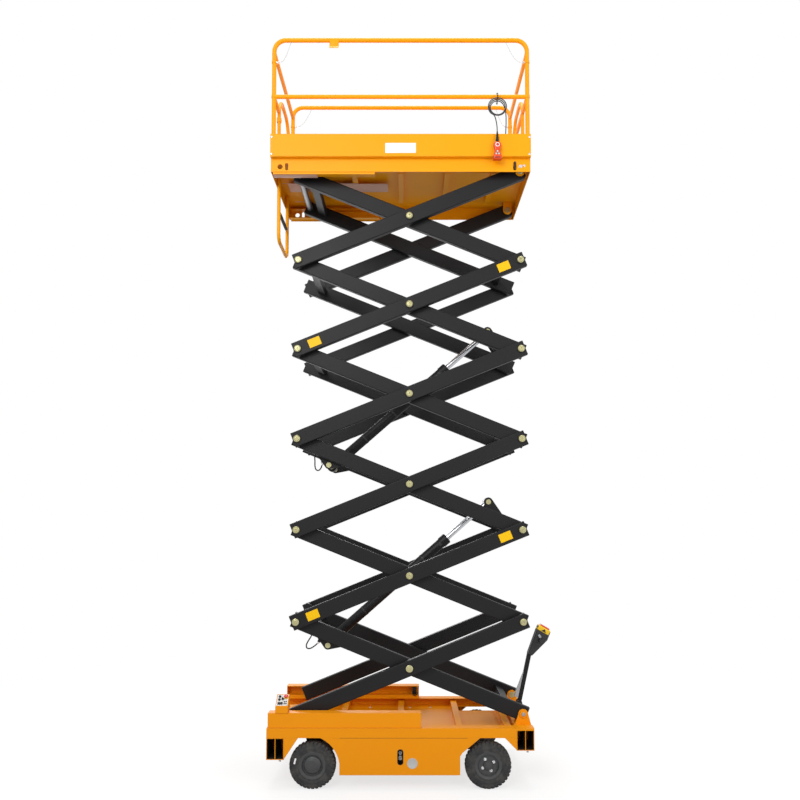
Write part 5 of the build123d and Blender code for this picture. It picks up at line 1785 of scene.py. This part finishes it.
# ---------- tiller
@dataclass
class TillerDress:
    """Stop button in its marked surround, grips, thumb levers and cover band of the steering handle."""

    bar_station: float = 1352.0
    bar_z: float = 1.232
    button_station: float = 1401.0
    button_z: float = 1.345
    button_out: Point = (0.501, 0.0, 0.866)
    button_up: Point = (-0.866, 0.0, 0.501)

    def build(self) -> None:
        """Makes every detail of the tiller."""
        self.stop()
        self.grips()
        self.thumb_levers()
        self.cover_band()

    def stop(self) -> None:
        """The stop button, its yellow surround and the dark mark on each side of it."""
        out = Vector(self.button_out).normalized()
        top = placed((station(self.button_station), 0, self.button_z), out, self.button_up)
        Workpiece().block((-0.063, -0.0470, -0.046), (0.063, 0.0470, 0.0025), 0.009, 4, top).done(
            "tiller_stop_surround", Coat.YELLOW, "tiller", None, 50)
        Workpiece().block((-0.048, -0.0340, 0.0015), (0.048, 0.0340, 0.0165), 0.007, 4, top).done(
            "tiller_stop_button", Coat.RED, "tiller", "red_plastic", 50)
        dark = Workpiece()
        middle = (top @ Matrix.Translation((-0.004, 0, -0.024))).translation
        for side in Side:
            frame = placed(middle + Vector((0, side.value * 0.0468, 0)), side.out, self.button_up)
            foot, tip = -0.012 * side.value, 0.016 * side.value
            dark.sheet([(-0.026, foot), (0.026, foot), (0.0, tip)][::side.value], 0.0012, frame)
        dark.done("tiller_stop_marks", Coat.BLACK_PLASTIC, "tiller", "black_plastic")

    def grips(self) -> None:
        """The two ribbed rubber grips on the bar."""
        grips = Workpiece()
        for side in Side:
            frame = placed((station(self.bar_station), side.value * 0.050, self.bar_z), side.out)
            profile = [(0, 0.0), (0.0172, 0.0), (0.0190, 0.002), (0.0190, 0.006), (0.0168, 0.008)]
            for k in range(9):
                z = 0.010 + 0.0072 * k
                profile += [(0.0168, z), (0.0176, z + 0.0014), (0.0176, z + 0.0036), (0.0168, z + 0.0050)]
            profile += [(0.0172, 0.0780), (0.0160, 0.0835), (0.0100, 0.0848), (0, 0.0848)]
            grips.turned(profile, frame, 32)
        grips.done("tiller_grips", Coat.RUBBER, "tiller", "black_rubber", 30)

    def thumb_levers(self) -> None:
        """The grey lever over each grip."""
        levers = Workpiece()
        for side in Side:
            root = (station(self.bar_station) - 0.004, side.value * 0.0445, self.bar_z + 0.036)
            levers.block((-0.020, -0.011, 0), (0.016, 0.011, 0.014), 0.005, 3,
                         placed(root, side.out, (0.5, 0, -0.866)))
        levers.done("tiller_thumb_levers", Coat.GREY_PLASTIC, "tiller", "grey_plastic", 50)

    def cover_band(self) -> None:
        """The round band at the foot of the cover."""
        lo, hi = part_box("tiller_cover")
        foot = placed(((lo.x + hi.x) / 2, 0, lo.z + 0.002), Facing.UP.value)
        band = Workpiece().stub(0.0175, 0, 0.018, foot, 28)
        band.done("tiller_cover_band", Coat.BLACK_PLASTIC, "tiller", "black_plastic")


# ---------- platform
@dataclass
class PlatformDress:
    """Plates, fasteners, lanyards, tread and small fittings of the work platform."""

    post_station: float = 1184.0
    post_y: float = 0.574
    pin_z: float = TOP_Z + 1.000  # of the locking pins and the posts' upper joints
    joint_z: float = TOP_Z + 0.670  # of the posts' lower joints
    bolt_heights: Pair = (TOP_Z + 0.110, TOP_Z + 0.272)
    tread_pitch: float = 0.045
    tread_corner: Pair = (-1150.0, -0.52)  # station and Y of its first lozenge
    tread_span: Pair = (2.30, 1.04)
    lozenge: tuple[float, float, float] = (0.0150, 0.0048, 0.0016)  # half length, half width, height
    plate_size: Pair = (0.285, 0.095)
    plate_z: float = 5.846  # of its middle
    gate_leg_y: float = -0.288
    # side and end of the post, and the station where its wire is tied to the top rail
    lanyards: tuple[tuple[Side, End, float], ...] = (
        (Side.NEAR, End.LEFT, -1030.0), (Side.NEAR, End.RIGHT, 990.0),
        (Side.FAR, End.LEFT, -985.0), (Side.FAR, End.RIGHT, 1035.0),
    )

    def build(self) -> None:
        """Makes every platform detail."""
        self.blank_plate()
        self.tread()
        self.toe_bolts()
        self.hanging_bracket()
        self.post_brackets()
        for side, end, tie in self.lanyards:
            self.lanyard(side, end, tie)
        self.pull_lever()
        self.underside()
        self.gate_fittings()
        self.ladder_fittings()

    def blank_plate(self) -> None:
        """The blank white plate on the near toe board."""
        w, h = self.plate_size[0] / 2, self.plate_size[1] / 2
        frame = placed((station(0), NEAR_EDGE, self.plate_z), Facing.NEAR.value, (1, 0, 0))
        Workpiece().block((-w, -h, -0.0005), (w, h, 0.0018), 0.0008, 2, frame).done(
            "blank_white_plate", Coat.LABEL_WHITE, "platform")

    def tread(self) -> None:
        """Raised lozenges over the whole floor."""
        made = bmesh.new()
        left, near = station(self.tread_corner[0]), self.tread_corner[1]
        columns, rows = (int(span / self.tread_pitch) for span in self.tread_span)
        long, wide, tall = self.lozenge
        for i in range(rows + 1):
            for j in range(columns + 1):
                x, y = left + j * self.tread_pitch, near + i * self.tread_pitch
                turn = math.radians(45 if (i + j) % 2 else -45)
                c, s = math.cos(turn), math.sin(turn)
                ring = []
                for a, b, up in (
                    (long, 0, 0), (0, wide, 0), (-long, 0, 0), (0, -wide, 0),
                    (long * 0.55, 0, tall), (0, wide * 0.5, tall),
                    (-long * 0.55, 0, tall), (0, -wide * 0.5, tall),
                ):
                    ring.append(made.verts.new((x + a * c - b * s, y + a * s + b * c, FLOOR_Z + up)))
                for k in range(4):
                    n = (k + 1) % 4
                    made.faces.new((ring[k], ring[n], ring[4 + n], ring[4 + k]))
                made.faces.new(ring[4:])
        work = Workpiece()
        work.merge(made)
        work.done("floor_tread", Coat.SUNNY, "platform", "orange_paint", 60)

    def toe_bolts(self) -> None:
        """The fasteners through the toe boards into the posts and the band."""
        work = Workpiece()
        for side in Side:
            y = side.value * HALF_WIDTH
            for place in (-1198.0, 1198.0):
                for z in self.bolt_heights:
                    work.bolt(placed((station(place), y, z), side.out), 0.0145, 0.0055)
            y = side.value * 0.560
            work.bolt(placed((station(1118), y, TOP_Z + 0.012), side.out), 0.0240, 0.014)
            work.bolt(placed((station(1152), y, TOP_Z + 0.018), side.out), 0.0180, 0.010)
        for y in (-0.46, 0.46):
            for z in self.bolt_heights:
                work.bolt(placed((station(1210), y, z), (1, 0, 0)), 0.0145, 0.0055)
                work.bolt(placed((station(-1210), y, z), (-1, 0, 0)), 0.0145, 0.0055)
        work.done("toe_board_bolts", Coat.BRIGHT, "platform", "steel")

    def hanging_bracket(self) -> None:
        """The bent orange bracket under the near top rail."""
        rail_z = TOP_Z + 1.215
        frame = placed((station(-622), -0.5935, rail_z - 0.006), Facing.NEAR.value, (1, 0, 0))
        work = Workpiece().block((-0.044, -0.062, 0), (0.044, 0.012, 0.004), 0.0012, 2, frame)
        bend = frame @ Matrix.Translation((0, -0.060, 0.0015)) @ Matrix.Rotation(math.radians(-38), 4, "X")
        work.block((-0.044, -0.050, -0.002), (0.044, 0.002, 0.002), 0.0012, 2, bend)
        work.done("hanging_bracket", Coat.SUNNY, "platform", "orange_paint")

    def post_brackets(self) -> None:
        """The folding brackets at the posts' feet and the sleeves at the rails' joints."""
        plates, bolts, sleeves = Workpiece(), Workpiece(), Workpiece()
        r, thick = 0.0203, 0.0028  # of a sleeve
        for end in End:
            for side in Side:
                x, y = station(end.value * self.post_station), side.value * self.post_y
                inward = -side.value
                web = y + inward * 0.0225
                for offset in (-0.0235, 0.0205):
                    plates.block((x + offset, y - 0.024, FLOOR_Z + 0.001),
                                 (x + offset + 0.003, y + 0.024, FLOOR_Z + 0.128), 0.001)
                plates.block((x - 0.024, web - 0.0015, FLOOR_Z + 0.001),
                             (x + 0.024, web + 0.0015, FLOOR_Z + 0.060), 0.001)
                foot = placed((x - end.value * 0.024, y, FLOOR_Z + 0.100), (-end.value, 0, 0))
                bolts.bolt(foot, 0.020, 0.009)
                bolts.bolt(placed((x, y + inward * 0.024, FLOOR_Z + 0.034), (0, inward, 0)), 0.016, 0.007)
                for z, tall in ((self.joint_z, 0.030), (self.pin_z, 0.026)):
                    sleeves.turned(
                        [(r, 0), (r + thick, 0.001), (r + thick, tall - 0.001), (r, tall), (r, 0)],
                        placed((x, y, z - tall / 2), Facing.UP.value), 28)
        plates.done("post_brackets", Coat.SUNNY, "platform", "orange_paint")
        bolts.done("post_bolts", Coat.BRIGHT, "platform", "steel")
        sleeves.done("rail_sleeves", Coat.SUNNY, "platform", "orange_paint", 50)

    def lanyard(self, side: Side, end: End, tie: float) -> None:
        """A wire from a post's locking pin to the top rail.

        Args:
            side: of the post.
            end: of the post.
            tie: station of the wire's upper end.
        """
        x, y = station(end.value * self.post_station), side.value * self.post_y
        name = f"{side.name.lower()}_{end.name.lower()}"
        pin = Workpiece()
        frame = placed((x - end.value * 0.0205, y, self.pin_z), (-end.value, 0, 0))
        pin.turned([(0, 0), (0.0100, 0), (0.0100, 0.003), (0.0062, 0.0045), (0.0062, 0.011), (0.0095, 0.013),
                    (0.0095, 0.017), (0, 0.018)], frame, 20)
        turns = [math.radians(30 * k) for k in range(12)]
        loop = [frame @ Vector((0.011 * math.cos(a), 0, 0.021 + 0.011 * math.sin(a))) for a in turns]
        pin.pipe(loop, 0.0012, 6, closed=True)
        finish = Vector((station(tie), y, TOP_Z + 1.1945)) + Vector((0, 0, -0.006))
        pin.stub(0.0048, 0, 0.008, placed(finish, Facing.UP.value), 12)
        pin_piece = pin.done(f"locking_pin_{name}", Coat.BRIGHT, "platform", "steel")
        start = frame @ Vector((0, 0, 0.030))
        reach = finish - start
        points = []
        count = 11
        for k in range(count):
            t = k / (count - 1)
            sag = 0.050 * math.sin(math.pi * t) * (1 - 0.25 * t)
            inward = -side.value * 0.004 * math.sin(math.pi * t)
            points.append(start + reach * t + Vector((0, inward, -sag)))
        wire = smooth_line(f"lanyard_{name}", points, 0.0014, Coat.WIRE)
        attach(wire, "platform")

    def pull_lever(self) -> None:
        """The black lever in the near band's right slot."""
        x, z = station(1065), TOP_Z + 0.008
        work = Workpiece()
        work.block((x - 0.0065, -0.5665, z - 0.030), (x + 0.0065, -0.5585, z + 0.046), 0.003)
        work.capped(0.0105, 0, 0.006, (0.0085, 0.008),
                    placed((x, -0.566, z + 0.036), Facing.NEAR.value), 20)
        work.done("pull_lever", Coat.BLACK_PLASTIC, "platform", "black_plastic")

    def underside(self) -> None:
        """Pale strips under the floor and the near track, painted as reflected light on the underside's
        flanges, and weld beads under the floor.
        """
        work = Workpiece()
        z = TOP_Z + 0.0465
        track_z = TOP_Z - 0.0602
        # pale strips of painted reflection on the flanges under the floor
        for left, right, near, far in ((-1124, -130, -0.119, 0.064), (-1180, -420, -0.128, -0.122),
                                       (-1120, -985, 0.296, 0.304), (-1185, 700, -0.372, -0.366)):
            work.block((station(left), near, z), (station(right), far, z + 0.0023), 0.0004)
        # the same painted reflection on the lip under the near track
        work.block((station(-1190), -0.547, track_z - 0.0016),
                   (station(-780), -0.481, track_z + 0.0004), 0.0004)
        work.done("primer_strips", Coat.UNDERSIDE, "platform", "orange_paint")
        bead = Workpiece()
        for y in (-0.36, 0.36):
            bead.pipe([(station(-1060 + 2120 * k / 24), y, TOP_Z + 0.0475) for k in range(25)], 0.003, 6)
        bead.done("underside_beads", Coat.SUNNY, "platform", "orange_paint", 60)

    def gate_fittings(self) -> None:
        """Hinge collars on the gate's near leg, the latch on its far leg, and their screws."""
        x = station(-self.post_station)
        collars, screws = Workpiece(), Workpiece()
        for z in (TOP_Z + 0.335, TOP_Z + 0.60):
            frame = placed((x, self.gate_leg_y, z - 0.022), Facing.UP.value)
            collars.turned([(0.0174, 0), (0.0215, 0), (0.0225, 0.001), (0.0225, 0.043), (0.0215, 0.044),
                            (0.0174, 0.044), (0.0174, 0)], frame, 28)
            screws.bolt(placed((x + 0.022, self.gate_leg_y, z), (1, 0, 0)), 0.010, 0.004)
        collars.done("gate_hinge_collars", Coat.SUNNY, "gate", "orange_paint")
        screws.done("gate_screws", Coat.BRIGHT, "gate", "steel")
        latch = Workpiece()
        latch.block((x + 0.010, 0.262, TOP_Z + 0.625), (x + 0.034, 0.300, TOP_Z + 0.700), 0.004, 3)
        latch.turned([(0, 0), (0.0045, 0), (0.0045, 0.022), (0.009, 0.024), (0.009, 0.030), (0, 0.032)],
                     placed((x + 0.022, 0.281, TOP_Z + 0.699), Facing.UP.value), 18)
        latch.done("gate_latch", Coat.BLACK_PLASTIC, "gate", "black_plastic", 45)

    def ladder_fittings(self) -> None:
        """The grip sleeve on the ladder's rung."""
        lo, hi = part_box("ladder")
        frame = placed(((lo.x + hi.x) / 2, -0.185, TOP_Z - 0.2875), Side.FAR.out)
        grit = Workpiece()
        grit.turned([(0.0142, 0), (0.0158, 0.001), (0.0158, 0.369), (0.0142, 0.370), (0.0142, 0)], frame, 32)
        grit.done("rung_sleeve", Coat.GRIT, "platform", "black_rubber", 50)


# ---------- whole machine
class Machine:
    """The imported CAD, its finishes, and the dress of every assembly."""

    finishes: dict[str, Coat] = {
        "orange_paint": Coat.ORANGE, "black_paint": Coat.BLACK, "rim_paint": Coat.RIM, "zinc": Coat.ZINC,
        "steel": Coat.STEEL, "chrome": Coat.CHROME, "tyre": Coat.TYRE, "black_plastic": Coat.BLACK_PLASTIC,
        "grey_plastic": Coat.GREY_PLASTIC, "red_plastic": Coat.PENDANT, "black_rubber": Coat.RUBBER,
    }
    platform_nodes: tuple[str, ...] = (
        "platform_frame", "toe_boards", "side_rails", "end_rails", "entry_gate", "ladder",
    )

    def __init__(self) -> None:
        """Clears the default scene and loads the CAD."""
        for old in list(bpy.data.objects):
            bpy.data.objects.remove(old, do_unlink=True)
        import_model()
        lo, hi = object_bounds()
        self.cad_box = [list(lo), list(hi)]

    def coat_cad(self) -> None:
        """Gives every CAD piece its finish, by the slot it was imported with."""
        for piece in bpy.data.objects:
            if piece.type != "MESH":
                continue
            for place in piece.material_slots:
                name = place.material.name if place.material else ""
                # the platform's orange parts get the copy of the orange paint that is painted lighter for the
                # stronger light up there
                if name == "orange_paint" and piece.name.startswith(self.platform_nodes):
                    place.material = material_of(Coat.SUNNY)
                elif name in self.finishes:
                    place.material = material_of(self.finishes[name])
                else:
                    log.warning("%s: no finish for %s", piece.name, name)

    def dress(self) -> None:
        """Adds what the CAD leaves to the look."""
        for kind in (
            WheelSet, ChassisDress, ScissorDress, CylinderHoses, TillerDress, PlatformDress, PendantSet
        ):
            kind().build()
            log.info("%s done", kind.__name__)


def main() -> None:
    """Builds the scene."""
    machine = Machine()
    machine.coat_cad()
    machine.dress()
    Studio().build()


if __name__ == "__main__":
    logging.basicConfig(stream=sys.stdout, level=logging.INFO, format="%(message)s")
    main()
